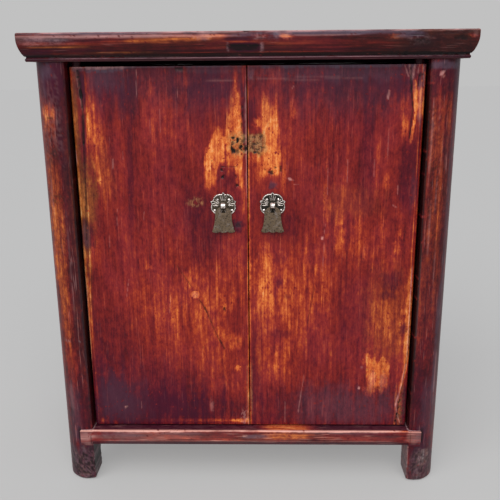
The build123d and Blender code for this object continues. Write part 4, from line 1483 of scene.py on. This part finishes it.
LEAF_RIGHT = Wear(seed=67, worn=(
    (30, 712, 12, 46, .6, 1.2), (48, 712, 10, 46, .3, 1.3), (34, 690, 28, 64, .6, 1.2, .3),
    (41, 645, 23, 84, .8, 1.4, .3), (40, 615, 33, 44, .8, 1.3, .3), (17, 683, 14, 16, .8),
    (17, 602, 24, 40, .3, 1.2), (15, 624, 26, 18, .5), (60, 640, 26, 110, .22, 1.5), (62, 590, 12, 60, .4),
    (16, 578, 24, 30, .15), (78, 700, 14, 40, .4), (45, 755, 24, 30, .35),
    (264, 692, 16, 78, .55, 1, .25, -1, -.04), (267, 672, 11, 36, .3, 1, .3), (115, 645, 120, 90, .1, 1.4),
    (280.5, 724, 7, 56, 1.5, .3, .1, -1, -.09), (280, 673, 4.6, 54, 1.5, .3, .1, -1, .12),
    (289, 718, 9, 44, .6, .6, .3), (135, 535, 8, 72, .5), (137, 620, 7, 64, .3), (145, 690, 9, 64, .2),
    (238, 585, 12, 30, .4), (222, 600, 8, 100, .2), (185, 545, 96, 64, .2, 1.4), (215, 480, 64, 84, .22),
    (160, 480, 16, 50, .3), (265, 520, 20, 40, .3), (266, 489, 13, 14, .6), (262, 460, 12, 24, .5),
    (55, 375, 130, 200, .34, 1.4), (14, 415, 24, 60, .2), (28, 402, 26, 120, .35, 1.2),
    (90, 350, 60, 130, .2), (165, 350, 70, 200, .1, 1.4), (110, 215, 110, 100, .12, 1.4),
    (258, 345, 78, 196, .35, 1.2), (284, 335, 16, 110, .3), (245, 330, 40, 70, .25),
    (226, 219, 14, 60, 1.2, .6, .3, -1, -.03), (249, 216, 18, 54, 1.1, .6, .3),
    (238, 216, 24, 58, 1.3, .7, .3), (290, 305, 9, 130, .6, .8, .4), (222, 250, 20, 20, .5),
    (226, 182, 20, 20, .6), (50, 245, 13, 54, .3), (45, 232, 64, 70, .25), (2, 300, 4, 520, .6),
    (276, 150, 5, 70, 1.1), (285, 140, 9, 56, .8, .8, .9), (289, 225, 5, 90, 1.1, .9, .45, -1, .12),
    (283, 190, 10, 30, .7), (165, 440, 100, 120, .15),
), dark=(
    # (60, 500): painted shadow of the pendant on the leaf
    (150, 768, 310, 80, .8, 1.5), (165, 725, 190, 90, .45, 1.4), (60, 500, 60, 50, .5, 1.3),
    (8, 705, 14, 54, .7), (288, 750, 9, 24, 1, .4, .15), (255, 752, 24, 50, .6, 1.2),
    (281, 600, 36, 130, .6), (205, 640, 22, 200, .35), (255, 402, 34, 34, .9), (250, 374, 30, 14, .7),
    (283, 308, 12, 20, 1), (55, 398, 12, 16, .9), (70, 372, 12, 10, .6), (150, 145, 310, 90, .6, 1.4),
    (160, 240, 130, 130, .15), (10, 225, 24, 170, .5), (286, 158, 20, 90, .6), (190, 350, 64, 140, .3),
    (56, 445, 20, 20, .4), (60, 300, 40, 14, .5), (43, 574, 12, 10, .9),
), cut=(
    (40, 599, 8, 8, .9, .6, .5, -.3), (57, 604, 4, 9, .9), (48, 606, 4, 3, .9), (30, 603, 3, 3, .7),
    (15, 648, 26, 30, .75, .4, .3, .3), (15, 633, 10, 3, .8), (240, 190, 10, 8, .4),
    (240, 212, 40, 50, .3, .9, .9, .45), (240, 212, 3, 44, .1, .9, .9), (((118, 390), (107, 318)), 2, .6),
    (((270, 770), (273, 740), (278, 704), (274, 655)), 2.6, 1), (287.5, 760, 7, 4, .8, .4),
    (284.5, 750, 2.4, 20, .7, .4), (((294, 387), (294, 270), (287, 196), (277, 120)), 2.2, .8),
    (284, 150, 14, 70, .6, .9, .6, .2),
), dust=(
    (15, 648, 29, 32, .62, .2, .1), (4, 188, 3, 110, .3), (286, 150, 14, 70, .25, .9, .6, .1),
), brown=(
    (15, 648, 30, 34, .8, .3), (284, 150, 16, 80, .2), (180, 545, 110, 50, .2), (255, 340, 80, 160, .3, 1.2),
# painted reflection of the sky, mostly along the top edge
), slate=(
    (150, 776, 300, 8, .7), (150, 764, 300, 24, .2, 1.2), (5, 765, 12, 20, .4),
    (160, 735, 280, 80, .12, 1.6), (44, 576, 12, 12, .35), (180, 150, 170, 70, .3, 1.5),
    (288, 560, 10, 60, .15),
), pale=(
    # (150, 778): painted highlight along the top edge
    (150, 778, 296, 2.2, .4, .9, .9), (288, 722, 6, 70, .14), (73, 586, 5, 5, .4), (231, 208, 14, 30, .14),
    (250, 206, 12, 24, .1), (280.5, 722, 4, 50, .08, .6, .2, -1, -.09), (((261, 773), (267, 757)), 2.8, .25),
    (((268, 775), (272, 752)), 3, .3), (((277, 774), (275, 756)), 3.2, .35),
    (((284, 775), (282, 762)), 2.6, .3), (((291, 774), (293, 742)), 2.4, .25),
    (((291, 240), (286, 204), (280, 174), (275, 152)), 2.6, .55),
    (((276, 158), (279, 138), (285, 120)), 2.4, .4), (292, 350, 2, 160, .4),
    (((66, 588), (80, 584)), 1.4, .32), (((80, 577), (88, 577)), 1.6, .24),
    (((237, 733), (235, 722)), 3, .45), (((253, 539), (259, 536), (267, 535)), 1.6, .42),
    (131, 481, 4, 4, .6), (209, 234, 4, 4, .2), (206, 191, 4, 4, .6), (((102, 217), (92, 140)), 1.8, .24),
    (((67, 161), (67, 119)), 1, .24), (((135, 480), (132, 420)), 1, .24), (((4, 756), (120, 751)), 3.6, .08),
    (((80, 758), (190, 754)), 3.6, .07), (((171, 620), (172, 580)), 1, .21),
    (((259, 575), (259, 560)), 1.4, .24), (((217, 620), (217, 590)), 1, .17),
    (((136, 510), (133, 482)), 1, .24), (((78, 742), (74, 737)), 1.6, .28),
    (((240, 690), (238, 600)), .9, .17), (((138, 605), (138, 560)), .9, .17),
))
# heights on a leaf, and the places of the joint there, counted from the leaf's meeting edge
JOINT_LEFT = ((350, 290.5), (485, 283), (590, 280), (671, 273), (768, 270))
JOINT_RIGHT = ((118, 276), (196, 286), (270, 290.5), (776, 290.5))


@dataclass
class Leaf:
    """One door leaf: a wide board and the strip that carries its pins."""

    side: Side
    strip_inner: float = 269.5
    tongue: Triple = (277.5, -169.0, -162.0)   # its tip, front and back
    arris: float = 1.2
    end_easing: float = 0.8
    front_round: float = 4.5
    back_round: float = 9.0
    pin: Triple = (286.0, -165.5, 8.5)         # its x, y and radius
    pin_easing: float = 1.2
    seam_half: float = 0.25
    around_pull: Triple = (565.0, 670.0, 1.8)  # finer rows: from, to, step

    def __post_init__(self) -> None:
        """Takes the leaf's box from the frame, and picks its wear and its joint."""
        board, strip = (Extent.of(self.side.named(part)) for part in ("door_board", "door_strip"))
        self.front, self.back = board.low[1], board.high[1]
        self.foot, self.head = board.low[2], board.high[2]
        self.inner = min(abs(board.low[0]), abs(board.high[0]))
        self.outer = max(abs(strip.low[0]), abs(strip.high[0]))
        self.pin_low, self.pin_high = strip.low[2], strip.high[2]
        left = self.side is Side.LEFT
        self.wear, self.joint = (LEAF_LEFT, JOINT_LEFT) if left else (LEAF_RIGHT, JOINT_RIGHT)

    def slant(self, points: Array, flat_end: float) -> None:
        """Shifts the front of the joint sideways by height.

        Formula: a point on the face moves by (joint - its straight place)·w, where w falls from 1 at
        the joint to 0 at flat_end, and to 0 from the face back to the tongue.

        Args:
            points: grid of the left-hand piece, joint still upright.
            flat_end: x where the face stays put.
        """
        heights, places = np.array(self.joint).T
        shift = np.interp(points[..., 2], heights, places) - self.strip_inner
        along = unit((points[..., 0] - flat_end) / (-self.strip_inner - flat_end))
        deep = unit((self.tongue[1] - points[..., 1]) / (self.tongue[1] - self.front))
        points[..., 0] -= shift * along * deep

    def raised(self, corners: Sequence[tuple[float, ...]], flat_end: float) -> Shell:
        """Carries a left-hand plan up the leaf, mirrors it to this side and works the wear into its face.

        Args:
            corners: the plan's corners, as for an outline.
            flat_end: x where the slant of the joint ends.

        Returns:
            The finished surface.
        """
        profile = outline(corners, 4.0)
        rows = stations(self.foot, self.head, 2.6, self.end_easing, [self.around_pull])
        points = carried(profile, rows, drawn_in(rows, self.end_easing), Grain.UPRIGHT)
        self.slant(points, flat_end)
        points = points * np.array([-self.side.value, 1.0, 1.0])
        x, z = points[..., 0], points[..., 2]
        state, seed = self.wear.channels(x, z), self.wear.seed
        wave = cloud(x / 55.0, z / 260.0, seed + 2)
        fibres = cloud(x / 2.6, z / 70.0, seed + 3)
        ends = smooth((3.0 - np.minimum(z - self.foot, self.head - z)) / 3.0)
        state[..., WORN] += bend(profile) * unit(0.35 + 0.6 * wave)
        state[..., WORN] += 0.3 * ends * (fibres > -0.2)
        relief = (0.3 * shares(wave) + 0.06 * (1 + fibres) * (1 + state[..., WORN])
                  + 0.25 * unit(state[..., WORN]) + state[..., CUT] + 0.3 * state[..., DUST])
        facing = unit(-outward(profile)[:, 1])
        points[..., 1] += facing * np.clip(relief, 0.0, 1.8)
        state[..., WORN] = np.where(facing < 0.02, state[..., WORN] * 0.3 + 0.3, state[..., WORN])
        return Shell(points, np.clip(state, 0.0, MOST_WEAR))

    def board(self) -> Shell:
        """The wide board, with its tongue.

        Returns:
            The board's surface.
        """
        joint = -self.strip_inner + self.seam_half
        tip, tongue_front, tongue_back = self.tongue
        return self.raised([
            (joint, self.front, 0.5, 1.25), (-self.inner, self.front, self.arris),
            (-self.inner, self.back, 0.8, 6.0), (-self.strip_inner, self.back, 0.4),
            (-self.strip_inner, tongue_back, 0.0), (-tip, tongue_back, 0.0),
            (-tip, tongue_front, 0.0), (joint, tongue_front, 0.0, 2.0)], -self.strip_inner + 60.0)

    def strip(self) -> list[Shell]:
        """The hinge-side strip and its two pins.

        Returns:
            The surfaces.
        """
        joint = -self.strip_inner - self.seam_half
        tip, tongue_front, tongue_back = self.tongue
        shells = [self.raised([
            (-self.outer, self.front, self.front_round, 1.25), (joint, self.front, 0.5, 2.0),
            (joint, tongue_front, 0.0), (-tip, tongue_front, 0.0), (-tip, tongue_back, 0.0),
            (joint, tongue_back, 0.0), (joint, self.back, 0.4, 3.0),
            (-self.outer, self.back, self.back_round, 3.0)], -self.outer + self.front_round)]
        pin_x, pin_y, radius = self.pin
        ring = arc((self.side.value * pin_x, pin_y), radius, 0.0, 360.0, 33)[:-1]
        for low, high in ((self.pin_low, self.foot + 1.0), (self.head - 1.0, self.pin_high)):
            along = stations(low, high, 4.0, self.pin_easing)
            shaft = carried(ring, along, drawn_in(along, self.pin_easing), Grain.UPRIGHT)
            # painted shade: the pins are dark all over, where they stand in the shade of the gap
            shells.append(Shell.worn(shaft, 0.0, 1.0, 0.7))
        return shells

    def build(self) -> None:
        """Makes the board and the strip."""
        offset = 0.0 if self.side is Side.LEFT else 0.37
        finish = Lacquer(f"Door lacquer {self.side.word}", Grain.UPRIGHT, 0.36, 1.0, offset, 0.75,
                         pale=(236, 162, 152)).material()
        for part, shells in (("door_board", [self.board()]), ("door_strip", self.strip())):
            write_piece(self.side.named(f"{part}_worn"), self.side.named(part), shells, finish,
                        f"{self.side.word}_door")


# ---- pulls ----
@dataclass
class Pull:
    """Flower plate, its four nails, the staple and the pendant that swings from it."""

    side: Side
    x: float = 43.0
    z: float = 540.5
    face: float = -176.0
    petals: int = 5
    cusp_radius: float = 24.0
    petal_radius: float = 22.4
    foot_radius: float = 20.6
    foot_angle: float = 9.0
    plate_thick: float = 1.2
    plate_sunk: float = 0.25
    rim_width: float = 2.6
    rim_height: float = 1.3
    vein_height: float = 0.9
    vein_turns: Pair = (6.0, 18.0)      # degrees off the line to each point
    boss_radius: float = 6.5
    boss_height: float = 1.6
    nail_places: tuple[Pair, ...] = ((10.0, 10.2), (15.1, -8.6))
    nail_radius: float = 2.7
    nail_height: float = 1.8
    nail_sunk: float = 0.45
    shank_radius: float = 0.9
    shank_length: float = 12.0
    eye: Four = (-184.1, 541.7, 3.7, 5.1)     # y, z, inner and outer radius
    staple_width: float = 7.4
    staple_easing: float = 0.35
    leg_gap: float = 0.3
    leg_turn: float = 17.0
    leaf_back: float = -155.0
    swing_z: float = 539.35
    bar: float = 1.8
    pendant_thick: float = 1.4
    pendant_easing: float = 0.45
    head_radius: float = 14.4
    length: float = 44.0
    foot_half: float = 20.2
    scallops: int = 3
    scallop_drop: float = 1.9
    window: Pair = (8.8, 9.5)
    window_power: int = 8          # how square the window is

    def __post_init__(self) -> None:
        """Puts the pull's middle on its side of the cabinet."""
        self.middle = self.side.value * self.x

    def off_point(self, turn: Array) -> Array:
        """Angles from the nearest point of the flower, in radians."""
        pitch = 2 * math.pi / self.petals
        return np.abs((turn - math.pi / 2 + pitch / 2) % pitch - pitch / 2)

    def edge(self, turn: Array) -> Array:
        """Distance of the plate's edge from its centre.

        Formula: near a point of the flower, the straight line from the point to the petal's foot;
        elsewhere a circle centred on the petal's axis, d cos a + sqrt(R² - d² sin² a).

        Args:
            turn: angles from the X axis, in radians.

        Returns:
            The radius at each angle.
        """
        half_pitch, foot = math.pi / self.petals, math.radians(self.foot_angle)
        from_point = self.off_point(turn)
        depth = (self.petal_radius**2 - self.foot_radius**2) / (
            2 * (self.petal_radius - self.foot_radius * math.cos(half_pitch - foot)))
        circle = self.petal_radius - depth
        off = from_point - half_pitch
        petal = depth * np.cos(off) + np.sqrt(circle**2 - (depth * np.sin(off)) ** 2)
        top, low = self.cusp_radius, self.foot_radius
        line = top * low * math.sin(foot) / (top * np.sin(from_point) + low * np.sin(foot - from_point))
        return np.where(from_point < foot, line, petal)

    def plate(self) -> Shell:
        """The flower plate.

        Formula: over polar coordinates, the height is the sheet, plus a half round along the edge,
        plus a dished boss, plus two thin ridges with a groove between them towards each point.

        Returns:
            The plate's surface.
        """
        turn = np.linspace(0, 2 * math.pi, 241)[:-1]
        edge = self.edge(turn)
        share = np.concatenate([np.linspace(0, 0.86, 26), np.linspace(0.88, 0.985, 9), [1.0]])[:, None]
        radius = share * edge
        fan = np.degrees(self.off_point(turn))

        def ridge(turned: float, wide: float) -> Array:
            """A ridge that runs outwards, some degrees off the line to a point of the flower."""
            return np.exp(-((radius * np.radians(fan - turned)) / wide) ** 2)

        inside, half_rim = edge - radius, self.rim_width / 2
        rim = np.sqrt(unit(1 - ((inside - half_rim) / half_rim) ** 2))
        vein_in = smooth((radius - self.boss_radius) / 4.0)
        near, far = ridge(self.vein_turns[0], 0.75), ridge(self.vein_turns[1], 0.8)
        veins = np.maximum(near, far * smooth((inside - 2.0) / 3.0)) * vein_in
        boss = smooth((self.boss_radius - radius) / 1.6)
        dish = 0.5 * np.sin(unit((radius - self.boss_radius) / (edge - self.boss_radius)) * math.pi)
        beaten = 0.1 * cloud(radius * np.cos(turn) / 3.0, radius * np.sin(turn) / 3.0, 81)
        sheet = self.plate_thick - dish
        height = np.maximum(sheet + beaten + self.rim_height * rim, sheet + self.vein_height * veins)
        height = np.maximum(height, self.plate_thick - 0.3 + self.boss_height * boss)
        height = height * smooth((1.0 - share) / 0.012)
        back = np.zeros((2, len(turn)))
        rings = np.concatenate([radius, np.array([[1.0], [0.0]]) * edge])
        points = np.stack([self.middle + rings * np.cos(turn),
                           self.face + self.plate_sunk - np.concatenate([height, back]),
                           self.z + rings * np.sin(turn)], axis=-1)
        hollow = 0.6 if self.side is Side.LEFT else 0.95
        rubbed = np.clip(1.1 * rim + 1.1 * veins + 0.35 * boss, 0.0, 1.2)
        groove = ridge(0.0, 0.5) * vein_in
        tarnished = unit(hollow - rim - veins - 0.6 * boss + 0.4 * groove)
        return Shell.worn(points, *(np.concatenate([part, back]) for part in (rubbed, tarnished)),
                          ends=Ends.POINTS)

    def nails(self) -> list[Shell]:
        """Domed nail heads: a half ellipse turned about the nail, over a short shank.

        Returns:
            The four nails' surfaces.
        """
        turn = np.linspace(0, 2 * math.pi, 25)[:-1]
        rise = np.linspace(math.pi / 2, 0, 9)
        shank, down = self.shank_radius, -self.shank_length
        radius = np.concatenate([np.cos(rise) * self.nail_radius, [shank, shank, 0.0]])[:, None]
        height = np.concatenate([np.sin(rise) * self.nail_height, [0.0, down, down - 1.0]])[:, None]
        dome = np.arange(len(radius))[:, None] < 6
        shells = []
        for across, up in self.nail_places:
            for way in (-1, 1):
                x = self.middle + way * across + radius * np.cos(turn)
                z = self.z + up + radius * np.sin(turn)
                y = self.face - self.plate_thick + self.nail_sunk - np.broadcast_to(height, x.shape)
                shells.append(Shell.worn(np.stack([x, y, z], axis=-1), 1.2 * dome, 0.9 * ~dome,
                                         ends=Ends.POINTS))
        return shells

    def staple(self) -> Shell:
        """The staple: a flat strip bent into an eye, with its legs turned behind the leaf.

        Formula: the closed section in Y and Z is the outer circle, both legs with their turned
        ends, and the inner circle, and it is carried along X.

        Returns:
            The staple's surface.
        """
        eye_y, eye_z, inner, outer = self.eye
        thick, half_gap = outer - inner, self.leg_gap / 2
        inner_turn = math.degrees(math.asin(half_gap / inner))
        outer_turn = math.degrees(math.asin((half_gap + thick) / outer))
        leg_end = self.leaf_back + thick
        low = [(self.leaf_back, eye_z - half_gap - thick), (self.leaf_back, eye_z - self.leg_turn),
               (leg_end, eye_z - self.leg_turn), (leg_end, eye_z - half_gap)]
        high = [(leg_end, eye_z + half_gap), (leg_end, eye_z + self.leg_turn),
                (self.leaf_back, eye_z + self.leg_turn), (self.leaf_back, eye_z + half_gap + thick)]
        profile = outline([(a, b, 0.0) for a, b in (
            *arc((eye_y, eye_z), outer, outer_turn, 360.0 - outer_turn, 40), *low,
            *arc((eye_y, eye_z), inner, 360.0 - inner_turn, inner_turn, 34), *high)], 2.5)
        half = self.staple_width / 2
        across = stations(self.middle - half, self.middle + half, 1.2, self.staple_easing)
        points = carried(profile, across, np.zeros(len(across)), Grain.ACROSS)
        normals = spread_normals(profile, len(across), Grain.ACROSS)
        points = points - normals * drawn_in(across, self.staple_easing)[:, None, None]
        front = smooth((eye_y + 1.0 - points[..., 1]) / 2.0)
        return Shell.worn(points, 0.5 + 0.9 * front, 0.5 * (1 - front))

    def pendant_edge(self) -> Array:
        """Outline of the pendant from the axis of its swing: round head, waist, flared and scalloped foot.

        Returns:
            The outline's points.
        """
        head_z = self.bar / 2 - self.head_radius
        fall, flare = self.length + head_z, self.foot_half - self.head_radius
        radius = (fall**2 + flare**2) / (2 * flare)
        turn = math.degrees(math.asin(fall / radius))
        head = arc((0.0, head_z), self.head_radius, 0.0, 180.0, 40)
        left = arc((-self.head_radius - radius, head_z), radius, 0.0, -turn, 24)[1:]
        step = 2 * self.foot_half / self.scallops
        scallop = ((step / 2) ** 2 + self.scallop_drop**2) / (2 * self.scallop_drop)
        spread = math.degrees(math.asin(step / 2 / scallop))
        curls = [arc((-self.foot_half + (index + 0.5) * step, -self.length - self.scallop_drop + scallop),
                     scallop, -90.0 - spread, -90.0 + spread, 12)[:-1] for index in range(self.scallops)]
        return np.concatenate([head, left[:-1], *curls, left[::-1] * np.array([-1.0, 1.0])])

    def pendant(self) -> Shell:
        """The pendant.

        Formula: each column joins a point of the outline to the point of the window in the same
        direction from the window's middle; the rows go round the section with rounded edges.

        Returns:
            The pendant's surface.
        """
        outer = self.pendant_edge()
        half_window = np.array(self.window) / 2
        middle = np.array([0.0, -self.bar / 2 - half_window[1]])
        ray = outer - middle
        ray = ray / np.linalg.norm(ray, axis=1, keepdims=True)
        box = np.abs(ray) / half_window
        power = self.window_power
        inner = middle + ray / ((box**power).sum(axis=1, keepdims=True) ** (1 / power))
        span = np.linalg.norm(outer - inner, axis=1, keepdims=True)
        half, soft = self.pendant_thick / 2, self.pendant_easing
        turn = np.linspace(0, math.pi / 2, 4)
        off = (soft * (1 - np.cos(turn)))[:, None, None]
        rounded = half - soft + soft * np.sin(turn)
        share = np.linspace(0.12, 0.88, 9)[:, None, None]
        front = np.concatenate([inner + ray * off, inner + ray * span * share, outer - ray * off[::-1]])
        level = np.concatenate([rounded, np.full(len(share), half), rounded[::-1]])
        plan = np.concatenate([front, front[::-1]])
        raised = np.concatenate([level, -level[::-1]])[:, None]
        beaten = 0.12 * cloud(plan[..., 0] / 6.0, plan[..., 1] / 6.0, 91 + self.side.value)
        grid = raised + np.where(np.abs(raised) > half - 0.01, beaten * np.sign(raised), 0.0)
        points = np.stack([self.middle + plan[..., 0], self.eye[0] - grid, self.swing_z + plan[..., 1]],
                          axis=-1)
        rim = smooth((half - np.abs(raised)) / 0.3)
        rubbed = unit(0.12 + 0.5 * rim + 0.3 * smooth((plan[..., 1] + 6) / 10))
        tarnished = 0.25 * smooth(cloud(plan[..., 0] / 9.0, plan[..., 1] / 14.0, 95))
        return Shell.worn(points, rubbed, tarnished, ends=Ends.JOINED)

    def build(self) -> None:
        """Makes the plate, nails, staple and pendant."""
        word = self.side.word
        plate, dull, bright = (Brass(f"{name} brass {word}", film).material() for name, film in (
            ("Plate", 0.72), ("Pendant", 0.85), ("Bright", 0.35)))
        for name, shells, material, slot, body in (
                ("pull_plate", [self.plate()], plate, "pull_metal", "door"),
                ("pull_nails", self.nails(), bright, "nails", "door"),
                ("pull_staple", [self.staple()], bright, "staples", "door"),
                ("pull_pendant", [self.pendant()], dull, "pull_metal", "pendant")):
            write_piece(f"{name}_{word}_old", self.side.named(name), shells, material, f"{word}_{body}")


# ---- carcase and inside ----
@dataclass
class Carcase:
    """Side and back rails, panels and boards, and the bare parts inside."""

    panel_easing: float = 0.8
    board_easing: float = 0.9
    rail_easing: float = 1.8
    back_boards: int = 3

    def build(self) -> None:
        """Makes the side and back rails, panels and boards."""
        panel, rails = (
            Lacquer(f"Side {name} lacquer", grain, base, 1.2, offset, brown=0.35, flecks=0.06).material()
            for name, grain, base, offset in (("panel", Grain.UPRIGHT, 0.29, 0.9),
                                              ("rail", Grain.DEEP, 0.27, 1.2)))
        back_board = BareWood("Back board wood", Grain.UPRIGHT, 0.75, 0.4).material()
        back_rail = BareWood("Back rail wood", Grain.ACROSS, 0.8, 0.6).material()
        for side in Side:
            Plank(side.named("side_panel"), Grain.UPRIGHT, "side_lacquer", self.panel_easing, wave=0.3,
                  step=7.0, seed=101).build(panel)
            for rail in ("side_bottom_rail", "side_top_rail"):
                Plank(side.named(rail), Grain.DEEP, "side_lacquer", self.rail_easing, wave=0.25, step=6.0,
                      seed=103).build(rails)
        for rail in ("back_bottom_rail", "back_top_rail"):
            Plank(rail, Grain.ACROSS, "back_wood", self.rail_easing, wave=0.3, step=8.0,
                  seed=107).build(back_rail)
        for index in range(1, self.back_boards + 1):
            Plank(f"back_board_{index}", Grain.UPRIGHT, "back_wood", self.board_easing, wave=0.4, step=9.0,
                  seed=109 + index).build(back_board)

    def dress(self) -> None:
        """Gives the solid parts inside the cabinet their bare wood."""
        boards = [f"{layer}_board_{place}" for layer in ("floor", "shelf") for place in ("back", "front")]
        battens = [f"door_batten_{place}_{side.word}" for place in ("high", "low") for side in Side]
        bearers = ["floor_bearer", *(side.named(part) for part in ("shelf_bearer", "top_batten")
                                     for side in Side)]
        for grain, nodes in ((Grain.ACROSS, boards + battens), (Grain.DEEP, bearers)):
            for index, node in enumerate(nodes):
                finish = BareWood(f"Inner wood {node}", grain, 0.45 + 0.05 * (index % 3), 0.35 * index)
                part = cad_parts[node]
                part.data.materials.clear()
                part.data.materials.append(finish.material())
                LOG.info("%s: bare wood", node)


# ---- studio ----
@dataclass
class Studio:
    """Pale floor, soft light and the camera."""

    eye: Triple = (0.0271, -1.2927, 0.7604)
    yaw: float = -0.0217
    pitch: float = 0.2628
    roll: float = -0.0082
    lens: float = 46.8
    sensor: float = 36.0
    floor_half: float = 40.0
    floor_tint: Triple = (0.280, 0.277, 0.270)
    floor_glow: float = 0.262      # a light table: half its brightness is its own
    backdrop: float = 0.533
    sky: Four = (0.42, 0.43, 0.46, 1.0)
    sun_strength: float = 2.3
    sun_spread: float = 70.0       # degrees
    panel_power: float = 14.0
    panel_size: Pair = (2.4, 1.2)

    def camera(self) -> None:
        """Places the camera by its eye and its three turns."""
        ahead = Vector((math.sin(self.yaw) * math.cos(self.pitch), math.cos(self.yaw) * math.cos(self.pitch),
                        -math.sin(self.pitch)))
        level = Vector((math.cos(self.yaw), -math.sin(self.yaw), 0.0))
        upright = level.cross(ahead)
        right = math.cos(self.roll) * level + math.sin(self.roll) * upright
        up = -math.sin(self.roll) * level + math.cos(self.roll) * upright
        data = bpy.data.cameras.new("Camera")
        data.lens, data.sensor_width = self.lens, self.sensor
        stand = Matrix((right, up, -ahead)).transposed().to_4x4()
        stand.translation = Vector(self.eye)
        camera = add_object("Camera", data)
        camera.matrix_world = stand
        bpy.context.scene.camera = camera

    def floor(self) -> None:
        """Lays the floor."""
        half = self.floor_half
        mesh = bpy.data.meshes.new("Floor")
        corners = [(-half, -half, 0), (half, -half, 0), (half, half, 0), (-half, half, 0)]
        mesh.from_pydata(corners, [], [(0, 1, 2, 3)])
        paper = Coat("Floor paper")
        paper.feed(paper.shader, [
            ("Base Color", self.floor_tint + (1.0,)), ("Roughness", 1.0), ("Specular IOR Level", 0.0),
            ("Emission Color", (1.0, 1.0, 1.0, 1.0)), ("Emission Strength", self.floor_glow)])
        mesh.materials.append(paper.material)
        add_object("Floor", mesh)

    def lights(self) -> None:
        """Hangs a wide soft sun and a large panel above the front, in a pale room."""
        world = bpy.data.worlds.new("Room")
        world.use_nodes = True
        room = Sheet(world.node_tree)
        seen = room.node("ShaderNodeLightPath").outputs["Is Camera Ray"]
        colour = room.blend(seen, self.sky, (self.backdrop,) * 3 + (1.0,))
        back = room.node("ShaderNodeBackground", [("Color", colour)])
        room.node("ShaderNodeOutputWorld", [("Surface", back.outputs[0])])
        bpy.context.scene.world = world
        sun = bpy.data.lights.new("Soft sun", "SUN")
        sun.energy, sun.angle = self.sun_strength, math.radians(self.sun_spread)
        self.hang(sun, Vector((-0.5, -1.7, 2.0)), Vector((0.0, 0.0, 0.3)))
        panel = bpy.data.lights.new("Panel", "AREA")
        panel.energy, panel.shape = self.panel_power, "RECTANGLE"
        panel.size, panel.size_y = self.panel_size
        self.hang(panel, Vector((0.3, -2.2, 2.2)), Vector((0.0, 0.0, 0.5)))

    def hang(self, light: bpy.types.Light, place: Vector, aim: Vector) -> None:
        """Hangs a light.

        Args:
            light: the light.
            place: where it hangs.
            aim: what it is turned towards.
        """
        lamp = add_object(light.name, light)
        lamp.location = place
        lamp.rotation_euler = (aim - place).to_track_quat("-Z", "Y").to_euler()

    def build(self) -> None:
        """Sets up the camera, the floor and the lights."""
        self.camera()
        self.floor()
        self.lights()
        bpy.context.scene.view_settings.view_transform = "Standard"


def main() -> None:
    """Builds the cabinet piece by piece."""
    Studio().build()
    Top().build()
    Posts().build()
    FrontRail().build()
    carcase = Carcase()
    carcase.build()
    carcase.dress()
    for side in Side:
        Leaf(side).build()
        Pull(side).build()


if __name__ == "__main__":
    logging.basicConfig(level=logging.INFO, format="%(message)s")
    main()
